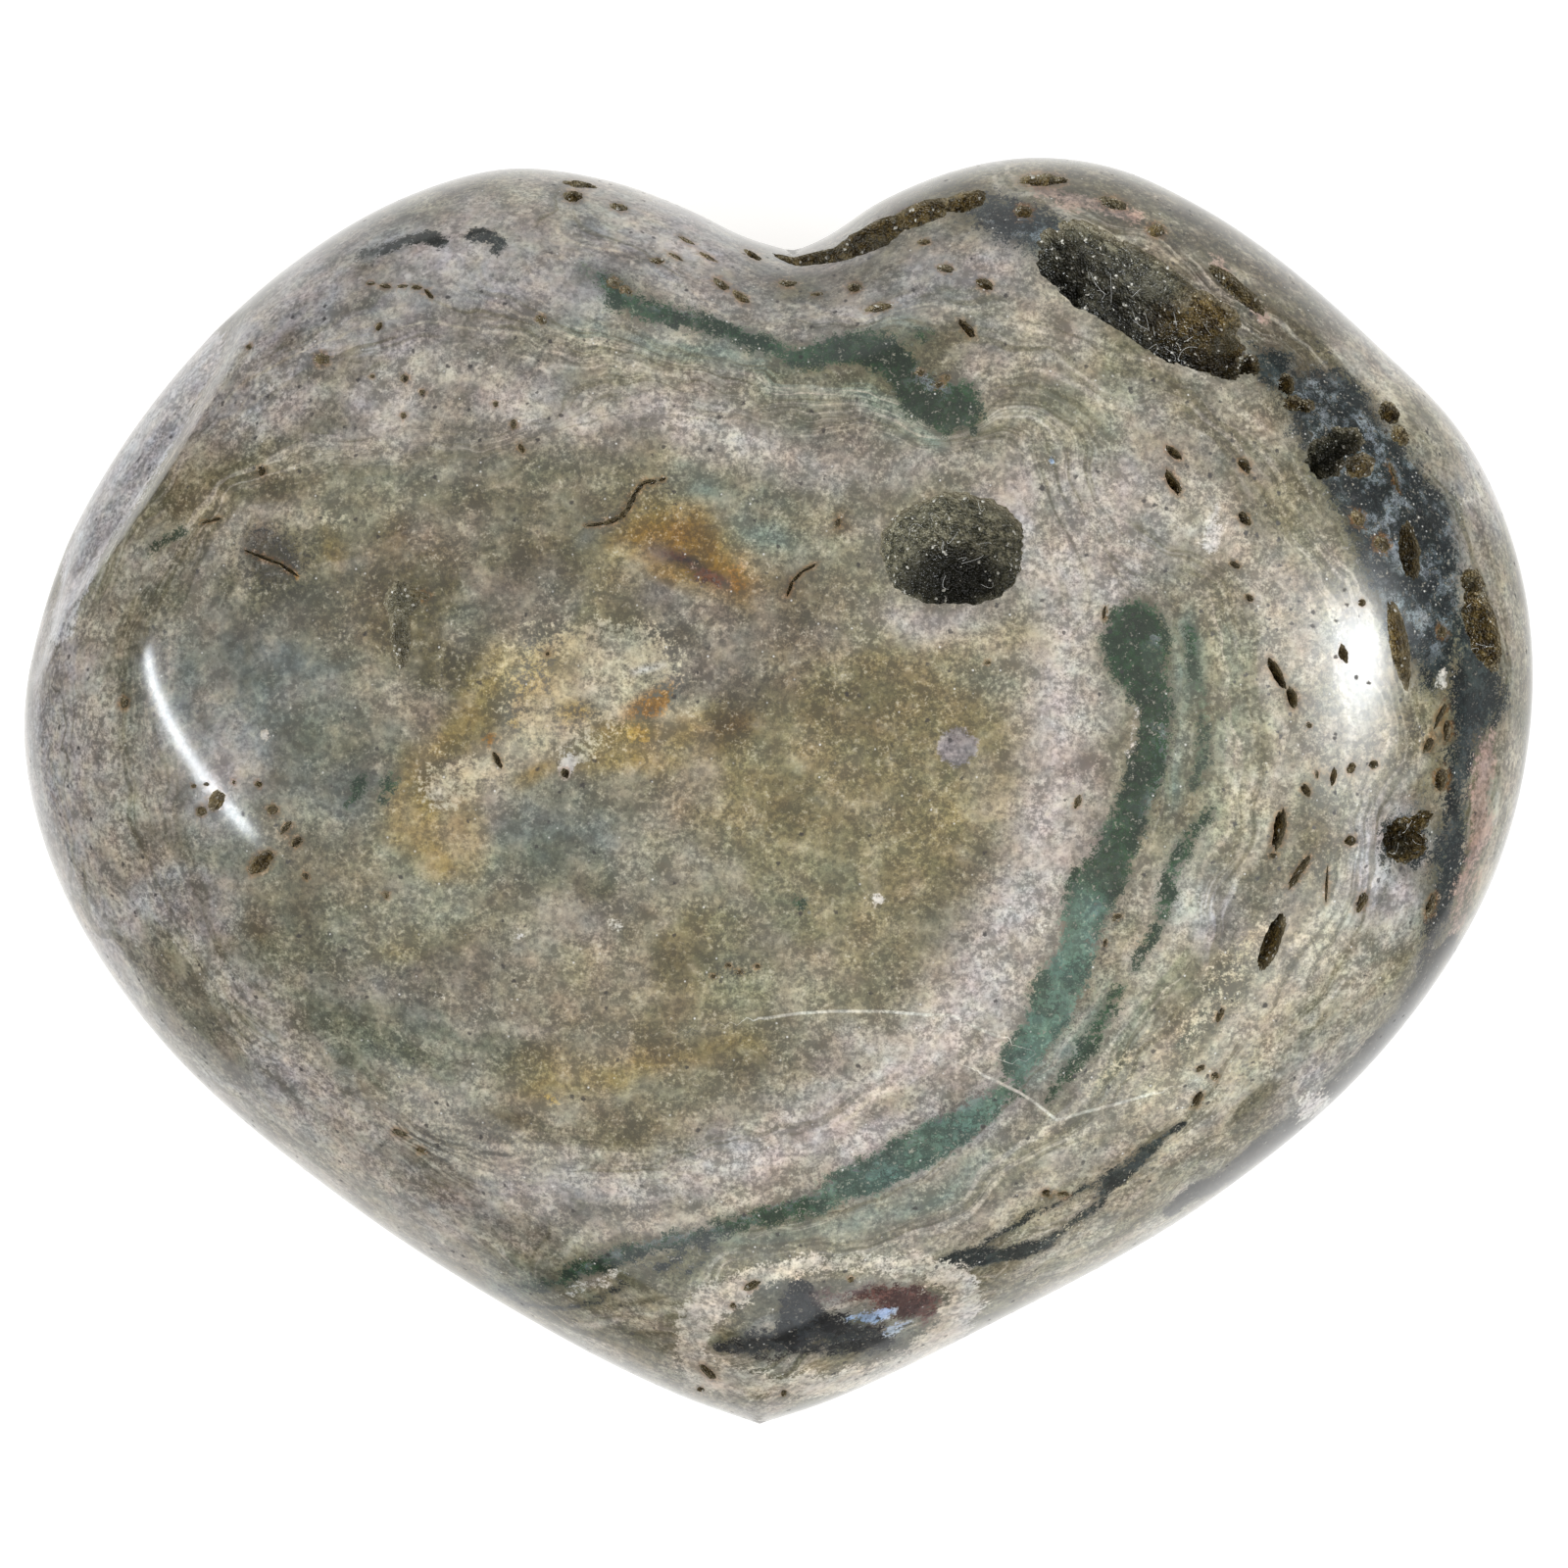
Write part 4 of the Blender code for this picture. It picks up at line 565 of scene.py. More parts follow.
# Small pits: across, up, half length, half width, depth, turn.
PITS = [
    (26.47, 6.25, 0.88, 0.26, 1.3, -62), (27.3, 4.94, 0.57, 0.26, 0.8, -75),
    (30.01, 7.29, 0.47, 0.26, 0.7, -75), (26.62, -2.03, 1.09, 0.31, 1.3, 80),
    (28.03, 0.05, 0.36, 0.21, 0.7, -60), (29.49, 0.78, 0.47, 0.16, 0.7, 80),
    (30.37, -2.65, 0.31, 0.26, 0.7, 0), (31.62, 1.41, 0.26, 0.21, 0.5, 0),
    (30.42, 1.2, 0.31, 0.21, 0.4, 60), (27.66, -4.32, 1.04, 0.21, 0.6, 57),
    (29.12, -5, 1.04, 0.08, 0.4, 88), (31, -5.88, 0.57, 0.26, 0.7, 65), (34.64, -6.09, 0.68, 0.21, 0.9, 75),
    (35.16, 4.01, 0.73, 0.16, 0.7, 65), (35.52, 3.18, 0.57, 0.21, 0.9, 85),
    (34.53, 2.45, 0.47, 0.21, 0.8, 60), (35.21, 0.62, 0.57, 0.36, 1, 90),
    (35.26, 8.43, 0.31, 0.26, 0.5, 90), (21, 17.96, 0.52, 0.21, 0.8, -40),
    (20.95, 16.4, 0.78, 0.26, 1, -60), (24.75, 17.33, 0.47, 0.26, 0.7, -50),
    (24.75, 14.47, 0.42, 0.26, 0.6, -50), (24.23, 12.02, 0.31, 0.16, 0.4, -30),
    (25.01, 10.25, 0.26, 0.16, 0.4, -30), (31, 9.99, 0.21, 0.21, 0.4, 0),
    (30.79, 14.47, 0.47, 0.31, 0.5, -60), (32.04, 13.12, 0.47, 0.36, 0.5, -40),
    (22.25, -16.4, 0.52, 0.21, 0.9, 60), (23.45, -11.92, 0.42, 0.16, 0.5, 65),
    (22.41, -14.73, 0.26, 0.16, 0.4, 30), (23.19, -15.15, 0.21, 0.21, 0.4, 0),
    (14.24, -21.39, 0.26, 0.21, 0.5, 0), (15.12, -21.44, 0.31, 0.16, 0.5, 0),
    (14.03, 32.43, 1.25, 0.36, 1.5, 2), (17.72, 31.23, 0.73, 0.31, 1.2, -15),
    (20.07, 29.77, 0.47, 0.36, 0.6, 0), (13.04, 30.76, 0.42, 0.36, 0.8, 0),
    (-10.54, 32.22, 0.83, 0.21, 0.7, -8), (-10.9, 31.59, 0.52, 0.31, 1, 0),
    (-8.51, 31.02, 0.47, 0.21, 0.5, -15), (-6.43, 28.16, 0.36, 0.16, 0.5, 0),
    (-3.04, 26.91, 0.52, 0.21, 0.5, -35), (-2, 26.23, 0.52, 0.21, 0.5, -35),
    (-1.38, 28.47, 0.57, 0.18, 0.8, -32), (0.49, 26.96, 0.47, 0.18, 0.8, -5),
    (2.06, 26.39, 0.36, 0.1, 0.4, 5), (4.03, 26.75, 0.36, 0.26, 0.5, 0), (5.34, 25.66, 0.78, 0.21, 0.4, 10),
    (8.87, 27.74, 0.47, 0.21, 0.5, -10), (10.96, 26.91, 0.47, 0.26, 0.7, -30),
    (7.73, 29.15, 0.31, 0.16, 0.4, 0), (10.02, 24.57, 0.62, 0.21, 0.8, -50),
    (-29.85, -0.52, 0.57, 0.42, 0.45, 60), (-30.68, -1.09, 0.31, 0.26, 0.35, 0),
    (-31.05, 0.26, 0.16, 0.1, 0.2, 0), (-30.37, 0.36, 0.16, 0.1, 0.2, 0), (-28.91, 0.47, 0.1, 0.1, 0.2, 0),
    (-27.61, 0.36, 0.21, 0.16, 0.3, 0), (-26.88, -0.99, 0.31, 0.26, 0.35, 0),
    (-26.15, -1.93, 0.42, 0.16, 0.35, 50), (-25.58, -2.71, 0.36, 0.21, 0.4, 40),
    (-27.46, -3.8, 0.78, 0.42, 0.7, 42), (-25.11, -4.53, 0.21, 0.16, 0.3, -30),
    (-34.74, 4.68, 0.31, 0.26, 0.35, 90), (-18.82, 10.36, 0.36, 0.21, 0.3, -20),
    (-27.46, 17.02, 0.26, 0.21, 0.5, 90), (-21.21, 24.67, 0.26, 0.16, 0.4, 70),
    (-24.28, 22.95, 0.42, 0.31, 0.35, 0), (-19.86, 21.91, 0.21, 0.21, 0.3, 0),
    (-21.57, 22.02, 0.16, 0.1, 0.2, 0), (-28.13, 23.58, 0.16, 0.16, 0.2, 0),
    (-12.62, 25.04, 0.31, 0.21, 0.35, -30), (-18.92, 21.18, 0.16, 0.16, 0.25, 0),
    (-14.08, 19.47, 0.26, 0.16, 0.25, 90), (-15.02, 20.56, 0.16, 0.16, 0.2, 0),
    (-19.91, 19.93, 0.16, 0.16, 0.2, 0), (-13.66, 18.22, 0.26, 0.16, 0.3, -60),
    (-14.91, 1.61, 0.47, 0.16, 0.5, -62), (-11.32, 0.94, 0.26, 0.21, 0.5, -60),
    (-12.26, 7.29, 0.1, 0.1, 0.2, 0), (-3.77, -30.87, 0.57, 0.21, 0.8, -45),
    (-1.43, -26.28, 0.47, 0.21, 0.6, 28), (-4.14, -31.8, 0.21, 0.16, 0.4, 0),
    (-2.42, -27.33, 0.16, 0.16, 0.3, 0), (0.29, -32.01, 0.21, 0.16, 0.3, 80),
    (3.83, -25.97, 0.16, 0.16, 0.25, 0), (17.31, 9.47, 0.36, 0.1, 0.3, 80),
    (15.9, -0.57, 0.36, 0.16, 0.3, 70), (-20.12, -18.17, 0.47, 0.16, 0.4, -15),
    (-18.97, -19.1, 0.31, 0.16, 0.3, -10), (-20.85, -5.52, 0.21, 0.16, 0.2, 90),
    (11.11, 6.82, 0.16, 0.1, 0.2, 0), (26.26, -3.44, 0.21, 0.16, 0.3, 0), (28.18, 3.49, 0.16, 0.16, 0.3, 0),
    (28.6, 0.88, 0.1, 0.21, 0.2, 0), (-21.68, 26.96, 0.26, 0.1, 0.3, 0),
    (-20.9, 26.81, 0.31, 0.13, 0.35, -8), (-19.96, 26.81, 0.31, 0.1, 0.3, 3),
    (-19.23, 26.75, 0.31, 0.13, 0.35, -8), (-18.56, 26.39, 0.36, 0.13, 0.35, -48),
    (-6.69, 16.4, 0.21, 0.13, 0.3, 30), (-6.17, 16.55, 0.21, 0.1, 0.3, 20),
    (-10.12, 14.11, 0.21, 0.08, 0.2, 10), (3.15, 14.26, 0.26, 0.16, 0.3, 60),
    (-2.68, -9.26, 0.16, 0.1, 0.2, 0), (-2.06, -9.63, 0.21, 0.1, 0.2, 10),
    (-3.46, -9.84, 0.16, 0.1, 0.2, 0), (-1.12, -9.32, 0.16, 0.1, 0.2, 0),
    (-8.04, 26.6, 0.26, 0.16, 0.3, -40), (-8.77, 27.01, 0.31, 0.21, 0.3, -30),
    (-4.92, 29.25, 0.47, 0.1, 0.3, -28), (-3.77, 28.37, 0.52, 0.1, 0.3, -30),
    (-5.44, 28.37, 0.42, 0.1, 0.2, -30), (7.57, 22.23, 0.21, 0.16, 0.3, 0),
    (8.51, 21.6, 0.26, 0.16, 0.3, 20), (8.93, 21.96, 0.16, 0.16, 0.2, 0),
    (17.98, -6.71, 0.26, 0.16, 0.3, 30), (17.36, -8.07, 0.21, 0.1, 0.2, 80),
    (-9.68, 14.16, 0.59, 0.1, 0.45, 7), (-8.82, 14.37, 0.59, 0.14, 0.45, 21),
    (-8.22, 14.73, 0.37, 0.19, 0.45, 49), (-7.83, 15.38, 0.65, 0.17, 0.45, 65),
    (-7.42, 16.08, 0.44, 0.13, 0.45, 51), (-7, 16.42, 0.29, 0.1, 0.45, 21),
    (0.62, 10.8, 0.48, 0.1, 0.45, 69), (1.01, 11.4, 0.49, 0.1, 0.45, 45),
    (1.61, 11.84, 0.51, 0.09, 0.45, 28), (-30.37, 14.31, 0.35, 0.09, 0.45, 11),
    (-29.9, 14.42, 0.28, 0.09, 0.45, 14), (32.64, 16.97, 0.51, 0.09, 0.45, -70),
    (32.84, 16.29, 0.42, 0.09, 0.45, -76), (-27.33, 12.39, 1.14, 0.09, 0.45, -21),
    (-26.08, 11.79, 0.7, 0.1, 0.45, -33),
]

# Flats ground on the rounded edge: across and up of a place on the crease, facing angle, tilt, in degrees.
FLATS = [(-32.2, 17.3, 148, 73), (-37.8, 10.0, 163, 77)]
# However deep a flat is, this share of the height above the widest line stays.
FLATS_END = 0.8
# Shallow dishes worn in by the polishing wheel: across, up, radius, depth.
DISHES = [(33.5, -2.2, 2.75, 0.28), (26.8, 22.6, 2.0, 0.08)]

# The ground colours blend softly: name, colour, edge softness in millimetres.
GROUND = [
    ("warm_olive", "#736847", 5.0),
    ("dark_olive", "#4b4329", 3.5),
    ("brown", "#503c17", 3.0),
    ("grey_blue", "#626864", 4.5),
    ("grey_green", "#5d6454", 3.5),
    # Lavender grey, partly painted rim sheen.
    ("lavender_grey", "#7f7c7b", 5.0),
    ("beige", "#928a7b", 3.5),
    ("pink", "#a09790", 3.4),
    # Pale lilac, partly painted rim reflection.
    ("pale_lilac", "#a19c99", 3.0),
    ("deep_taupe", "#46402e", 2.4),
    ("pale_green", "#818672", 2.4),
    ("teal_grey", "#677367", 1.8),
    ("ochre", "#7f6c39", 2.2),
    # Taupe, partly painted shade in the cleft.
    ("taupe_and_painted_cleft_shade", "#575042", 2.4),
    ("orb_grey", "#6b6b61", 1.2),
    ("orb_tan", "#837659", 1.2),
    # Sand, partly painted light on the lower left.
    ("sand", "#9d9580", 2.6),
    ("amber_halo", "#725517", 1.3),
    ("amber_heart", "#291212", 0.7),
]
# Dark marks, then pale and bright marks, with their grain-sharp edges.
DARK_MARKS = [
    ("slate", "#273030", 2.4),
    ("dusty_green", "#505b46", 1.2),
    ("rust", "#582e12", 0.9),
    ("teal", "#3c5b4e", 1.3),
    ("green", "#123917", 1.3),
    ("deep_green", "#122e12", 1.2),
    ("vein_core", "#506b5b", 0.9),
    ("slate_thin", "#272e29", 0.6),
    ("orb_dark", "#121212", 0.9),
    ("orb_mauve", "#63433c", 0.9),
    # A dark spot, and painted shade along the lower right rim.
    ("dark_spot_and_painted_rim_shade", "#3d3930", 0.6),
]
PALE_MARKS = [
    ("cream", "#9b9179", 2.6),
    ("yellow", "#8f7739", 1.4),
    ("orange", "#7b5412", 1.4),
    ("tan_stripe", "#8c766a", 1.0),
    # Painted reflection along the upper left crease.
    ("pale_edge", "#b1adad", 0.5),
    ("lavender_spot", "#77706e", 0.7),
    ("orb_blue", "#899cb5", 0.5),
    ("orb_ring", "#afa594", 1.0),
    ("chalk", "#ada89f", 0.6),
]
BASE_COLOUR = "#76705b"
# A mark's colour reaches this far past the mark's own edge, in millimetres.
COLOUR_SPREAD = 1.2
# On the back the layers turn, in radians a millimetre of depth, and spread.
BACK_TURN = 0.05
BACK_SPREAD = 0.35
# Places wander, so that no mark has a drawn edge: over this distance, and by this much.
GROUND_WAVERS = ((4.5, 1.1), (1.3, 0.35))
MARK_WAVER = (1.6, 0.3)
WAVER_SEED = 11
# Streaks start outside this oval round the middle of the face: across, up, half width, half length.
CALM_OVAL = (-6, 1, 26, 17)
CLOUD_SIZE = 6.5
# Fields that set the surface, not the colour, except deep, which is painted shade on the walls of the
# hollows: name, edge softness.
SURFACE_FIELDS = [("calm", 3.0), ("dull", 4.0), ("porous", 4.0), ("druse", 0.7), ("deep", 1.2)]
FAR_FROM_SEAM = 9.0


def smooth_line(points, steps):
    """A smooth curve through the points, evenly shaped for unevenly spaced points."""
    points = np.array(points, float)
    ends = np.vstack([2 * points[0] - points[1], points, 2 * points[-1] - points[-2]])
    line = []
    for first in range(len(points) - 1):
        a, b, c, d = ends[first:first + 4]
        at_b = math.sqrt(np.linalg.norm(b - a))
        at_c = at_b + math.sqrt(np.linalg.norm(c - b))
        at_d = at_c + math.sqrt(np.linalg.norm(d - c))
        for t in np.linspace(at_b, at_c, steps, endpoint=False):
            ab = a + (b - a) * t / at_b
            bc = b + (c - b) * (t - at_b) / (at_c - at_b)
            cd = c + (d - c) * (t - at_c) / (at_d - at_c)
            abc = ab + (bc - ab) * t / at_c
            bcd = bc + (cd - bc) * (t - at_b) / (at_d - at_b)
            line.append(abc + (bcd - abc) * (t - at_b) / (at_c - at_b))
    line.append(points[-1])
    return np.array(line)


def heart_outline():
    """The closed outline, counter-clockwise from the cleft, centred on its own box."""
    left = smooth_line(LEFT_HALF, STEPS_PER_SPAN)
    right = smooth_line(RIGHT_HALF, STEPS_PER_SPAN)[::-1]
    line = np.vstack([left[:-1], right[:-1]])
    return line - (line.max(0) + line.min(0)) / 2


OUTLINE = heart_outline()


def ease(share):
    """A share from 0 to 1 with a smooth start and end."""
    share = np.clip(share, 0, 1)
    return share * share * (3 - 2 * share)


def smooth_inset(places):
    """Distance in from the outline, with its ridges and creases ground away.

    The whole outline counts, near parts far more than others: the sum of 1/distance^5 along
    a straight edge is 4/3 of 1/distance^4, which gives the distance back.
    """
    along = np.roll(OUTLINE, -1, axis=0) - OUTLINE
    middles = OUTLINE + along / 2
    lengths = np.linalg.norm(along, axis=1)
    found = []
    for start in range(0, len(places), PLACES_AT_ONCE):
        part = places[start:start + PLACES_AT_ONCE]
        gaps = np.linalg.norm(part[:, None, :] - middles[None], axis=2)
        total = (lengths / np.maximum(gaps, 1e-3) ** 5).sum(1)
        ground = (total / (4 / 3)) ** -0.25
        offset = part[:, None, :] - OUTLINE[None]
        share = np.clip((offset * along).sum(2) / (along**2).sum(1), 0, 1)
        exact = np.linalg.norm(offset - share[..., None] * along, axis=2).min(1)
        found.append(exact + (ground - exact) * ease((exact - CREASE_START) / (CREASE_END - CREASE_START)))
    return np.concatenate(found)


def bump(angles, middle, spread):
    """1 at the middle direction, falling smoothly to 0 away from it."""
    gap = np.angle(np.exp(1j * (angles - middle)))
    return np.exp(-0.5 * (gap / spread) ** 2)


def edge(inset, rise, reach):
    """A rounded edge: upright at the outline, then levelling off inwards."""
    return rise * np.sqrt(1 - np.exp(-2 * inset / reach))


def dome(inset, places, height):
    """The low dome over a face. It starts from nothing at the outline."""
    across = (places[:, 0] - DOME_MIDDLE[0]) / DOME_HALF_WIDTH
    along = (places[:, 1] - DOME_MIDDLE[1]) / DOME_HALF_LENGTH
    full = height * np.clip(1 - across**2 - along**2, 0, 1)
    return full * (1 - np.exp(-inset / DOME_START))


def front_height(places):
    """Height of the front above the widest line."""
    inset = smooth_inset(places)
    angles = np.arctan2(places[:, 1], places[:, 0])
    tight = np.maximum(
        bump(angles, TIGHT_SIDE_ANGLE, TIGHT_SIDE_SPREAD),
        bump(angles, CLEFT_ANGLE, CLEFT_SPREAD),
    )
    tight = tight * np.exp(-((inset / TIGHT_EDGE_DEPTH) ** 2))
    reach = FRONT_EDGE_REACH + (TIGHT_EDGE_REACH - FRONT_EDGE_REACH) * tight
    return edge(inset, FRONT_EDGE_RISE, reach) + dome(inset, places, FRONT_DOME_HEIGHT)


def back_depth(places):
    """Depth of the back below the widest line, before the flat spot is cut."""
    inset = smooth_inset(places)
    return edge(inset, BACK_EDGE_RISE, BACK_EDGE_REACH) + dome(inset, places, BACK_DOME_HEIGHT)


EQUATOR = float(back_depth(np.zeros((1, 2)))[0]) - FLAT_SPOT_CUT


def outline_radius(angles):
    """The outline's distance from the middle in each direction."""
    around = np.arctan2(OUTLINE[:, 1], OUTLINE[:, 0])
    order = np.argsort(around)
    return np.interp(angles, around[order], np.linalg.norm(OUTLINE, axis=1)[order], period=2 * math.pi)


def dish_depth(places):
    """How far the worn dishes are sunk at each place."""
    depth = np.zeros(len(places))
    for across, up, radius, deep in DISHES:
        gap = np.hypot(places[:, 0] - across, places[:, 1] - up) / radius
        depth += deep * ease((1.08 - gap) / 0.42)
    return depth


def ground_flats(places, z):
    """The height after the flats are ground off; they stop short of the widest line."""
    for across, up, facing, tilt in FLATS:
        crease = face_spot(across, up)[0]
        facing = math.radians(facing)
        out = (places[:, 0] - crease.x) * math.cos(facing) + (places[:, 1] - crease.y) * math.sin(facing)
        flat = crease.z - out * math.tan(math.radians(tilt))
        lowest = EQUATOR + FLATS_END * (z - EQUATOR)
        z = np.minimum(z, np.maximum(flat, lowest))
    return z


def select_only(piece=None):
    """Selects one piece and makes it active, or selects nothing."""
    bpy.ops.object.select_all(action="DESELECT")
    if piece:
        piece.select_set(True)
        bpy.context.view_layer.objects.active = piece


def read_rows(items, name, width):
    """One property of a mesh's points or faces, as a row of numbers for each."""
    numbers = np.empty(len(items) * width)
    items.foreach_get(name, numbers)
    return numbers.reshape(-1, width)


def heart_skin():
    """The closed polished skin, from a fine ball whose points are moved onto the heart."""
    select_only()
    bpy.ops.mesh.primitive_ico_sphere_add(subdivisions=7, radius=1)
    stone = bpy.context.object
    stone.name = "jasper_heart"
    mesh = stone.data
    ball = read_rows(mesh.vertices, "co", 3)
    angles = np.arctan2(ball[:, 1], ball[:, 0])
    rise = np.arcsin(np.clip(ball[:, 2], -1, 1))
    rise = rise + FRONT_BIAS * np.cos(rise)
    places = np.stack([np.cos(angles), np.sin(angles)], 1)
    places *= (outline_radius(angles) * np.cos(rise))[:, None]
    front = rise >= 0
    z = np.empty(len(ball))
    z[front] = EQUATOR + front_height(places[front]) - dish_depth(places[front])
    z[front] = ground_flats(places[front], z[front])
    z[~front] = np.maximum(EQUATOR - back_depth(places[~front]), 0)
    mesh.vertices.foreach_set("co", (np.column_stack([places, z]) * MM).ravel())
    mesh.update()
    return stone


def height_at(x, y):
    return float(front_height(np.array([(x, y)]))[0])


def face_spot(across, up):
    """The point of the face that the camera sees at a mark's place, and the slopes there."""
    x, y = across, up
    for _ in range(8):
        height = height_at(x, y)
        shrink = (CAMERA_DISTANCE - height) / CAMERA_DISTANCE
        x, y = across * shrink, up * shrink
    slope_x = (height_at(x + SLOPE_STEP, y) - height_at(x - SLOPE_STEP, y)) / (2 * SLOPE_STEP)
    slope_y = (height_at(x, y + SLOPE_STEP) - height_at(x, y - SLOPE_STEP)) / (2 * SLOPE_STEP)
    return Vector((x, y, EQUATOR + height)), slope_x, slope_y


def crystal_roughness(point, seed, cells, unevenness):
    """How far a hollow's wall stands in or out, as a share of its size."""
    shifted = point * 1.7 + Vector((seed, 2.3 * seed, 0.7 * seed))
    value = unevenness * (noise.noise(shifted) + 0.6 * noise.noise(shifted * 2.9))
    if cells > 0:
        value += 0.7 / cells * (noise.voronoi(point * cells + shifted)[0][0] - 0.5)
    return value


def hollow_cutter(across, up, length, width, depth, turn, lean, fineness, unevenness, lump, seed):
    """A rough ball, stretched along the face and down into the stone."""
    spot, slope_x, slope_y = face_spot(across, up)
    select_only()
    bpy.ops.mesh.primitive_ico_sphere_add(subdivisions=fineness, radius=1)
    cutter = bpy.context.object
    angle = math.radians(turn)
    along = Vector((math.cos(angle), math.sin(angle), 0))
    aside = Vector((-math.sin(angle), math.cos(angle), 0))
    normal = Vector((-slope_x, -slope_y, 1)).normalized()
    for direction, size in ((along, length), (aside, width)):
        direction.z = slope_x * direction.x + slope_y * direction.y
        direction *= size
    down = -normal + Vector((lean[0], lean[1], 0))
    middle = spot + normal * HOLLOW_RAISE * min(width, 1)
    cells = math.sqrt(length * width) / lump if lump else 0
    for vertex in cutter.data.vertices:
        p = vertex.co.copy()
        p *= 1 + crystal_roughness(p, seed, cells, unevenness)
        sink = -p.z * depth
        vertex.co = (middle + along * p.x + aside * p.y + down * sink) * MM
    cutter.data.update()
    return cutter


def cut_away(stone, cutters):
    """Joins the cutters and takes them out of the stone."""
    select_only(cutters[0])
    for cutter in cutters:
        for material in stone.data.materials:
            cutter.data.materials.append(material)
        cutter.data.polygons.foreach_set("material_index", [1] * len(cutter.data.polygons))
        cutter.select_set(True)
    if len(cutters) > 1:
        bpy.ops.object.join()
    joined = bpy.context.object
    select_only(stone)
    cut = stone.modifiers.new("hollow", "BOOLEAN")
    cut.operation = "DIFFERENCE"
    cut.solver = "MANIFOLD"
    cut.object = joined
    bpy.ops.object.modifier_apply(modifier=cut.name)
    bpy.data.objects.remove(joined)


def cut_hollows(stone):
    """Takes out every hollow, in groups whose cutters don't touch."""
    hollows = []
    for name, *shape, _ in VUGS:
        unevenness = WALL_UNEVENNESS.get(name.split()[0], OTHER_UNEVENNESS)
        hollows.append((*shape, unevenness, CRUST_LUMP))
    for pit in PITS:
        hollows.append((*pit, (0, 0), 4 if pit[2] > LARGE_PIT else 3, PIT_UNEVENNESS, 0))
    groups = []
    for seed, shape in enumerate(hollows):
        across, up, length = shape[:3]
        cutter = hollow_cutter(*shape, seed + 1.0)
        for group in groups:
            if all(math.hypot(across - a, up - u) > 1.25 * (length + far) + 0.1 for a, u, far in group[0]):
                break
        else:
            group = ([], [])
            groups.append(group)
        group[0].append((across, up, length))
        group[1].append(cutter)
    for _, cutters in groups:
        cut_away(stone, cutters)


def patch_field(seen, patches, softness):
    """1 inside the patches, 0 outside, with a soft edge; each patch has its own strength."""
    field = np.zeros(len(seen))
    for across, up, length, width, turn, strength in patches:
        angle = math.radians(turn)
        x, y = seen[:, 0] - across, seen[:, 1] - up
        along = (x * math.cos(angle) + y * math.sin(angle)) / length
        aside = (-x * math.sin(angle) + y * math.cos(angle)) / width
        inside = (1 - np.hypot(along, aside)) * width
        soft = min(softness, 1.6 * width)
        field = np.maximum(field, strength * np.clip(0.5 + inside / soft, 0, 1))
    return field


def line_reach(seen, line):
    """How far inside a line of varying half width each place is, and its side of the line."""
    best = np.full(len(seen), -1e3)
    side = np.zeros(len(seen))
    for (ax, ay, aw), (bx, by, bw) in zip(line, line[1:]):
        dx, dy = bx - ax, by - ay
        x, y = seen[:, 0] - ax, seen[:, 1] - ay
        share = np.clip((x * dx + y * dy) / (dx * dx + dy * dy), 0, 1)
        gap = np.hypot(x - share * dx, y - share * dy)
        inside = aw + (bw - aw) * share - gap
        nearer = inside > best
        best[nearer] = inside[nearer]
        side[nearer] = (gap * np.sign(x * dy - y * dx))[nearer]
    return best, side


def mark_field(seen, name, softness):
    """1 inside a mark's patches and bands, 0 outside."""
    field = patch_field(seen, PATCHES.get(name, []), softness)
    for band in BANDS.get(name, []):
        inside, _ = line_reach(seen, band)
        field = np.maximum(field, np.clip(0.5 + inside / softness, 0, 1))
    return field


def flow_field(seen):
    """Each place's position across the rock's layers, for streaks that follow the layers."""
    total = np.zeros(len(seen))
    weight = np.zeros(len(seen))
    for value, points in FLOW:
        inside, _ = line_reach(seen, [(x, y, 0) for x, y in points])
        pull = 1 / (0.4 - inside) ** 3
        total += pull * value
        weight += pull
    return total / weight


def seam_field(seen):
    """Distance from the nearest healed fracture, with its side of the fracture as the sign."""
    seam = np.full(len(seen), FAR_FROM_SEAM)
    for line in SEAMS:
        inside, side = line_reach(seen, [(x, y, 0) for x, y in line])
        seam = np.where(-inside < np.abs(seam), side, seam)
    return seam


def seen_places(points):
    """Where the camera sees each point, in the widest line's plane.

    Below that line the pattern turns and spreads.
    """
    above = points[:, 2] - EQUATOR
    seen = points[:, :2] * (CAMERA_DISTANCE / (CAMERA_DISTANCE - np.maximum(above, 0)))[:, None]
    below = np.maximum(-above, 0)
    turn = BACK_TURN * below
    reach = 1 + BACK_SPREAD * np.sin(math.pi * below / EQUATOR)
    across = reach * (np.cos(turn) * seen[:, 0] - np.sin(turn) * seen[:, 1])
    up = reach * (np.sin(turn) * seen[:, 0] + np.cos(turn) * seen[:, 1])
    return np.column_stack((across, up))


def waver(points, pitch, amount):
    """A smooth wandering of places, by about the amount over each pitch."""
    noise.seed_set(WAVER_SEED)
    shifts = np.array([noise.noise_vector(Vector(point) / pitch) for point in points])
    return amount * shifts[:, :2]


def write_field(mesh, name, values):
    attribute = mesh.attributes.new(name, "FLOAT", "POINT")
    attribute.data.foreach_set("value", values.astype(np.float32))


def write_colour(mesh, name, colours):
    attribute = mesh.attributes.new(name, "FLOAT_COLOR", "POINT")
    full = np.ones((len(colours), 4), np.float32)
    full[:, :3] = colours
    attribute.data.foreach_set("color", full.ravel())


def paint_ground(mesh, places):
    """The ground colours, each laid softly over the ones before."""
    ground = np.tile(srgb(BASE_COLOUR)[:3], (len(places), 1))
    for name, shade, softness in GROUND:
        share = ease(mark_field(places, name, softness))[:, None]
        ground += (np.array(srgb(shade)[:3]) - ground) * share
    write_colour(mesh, "ground", ground)


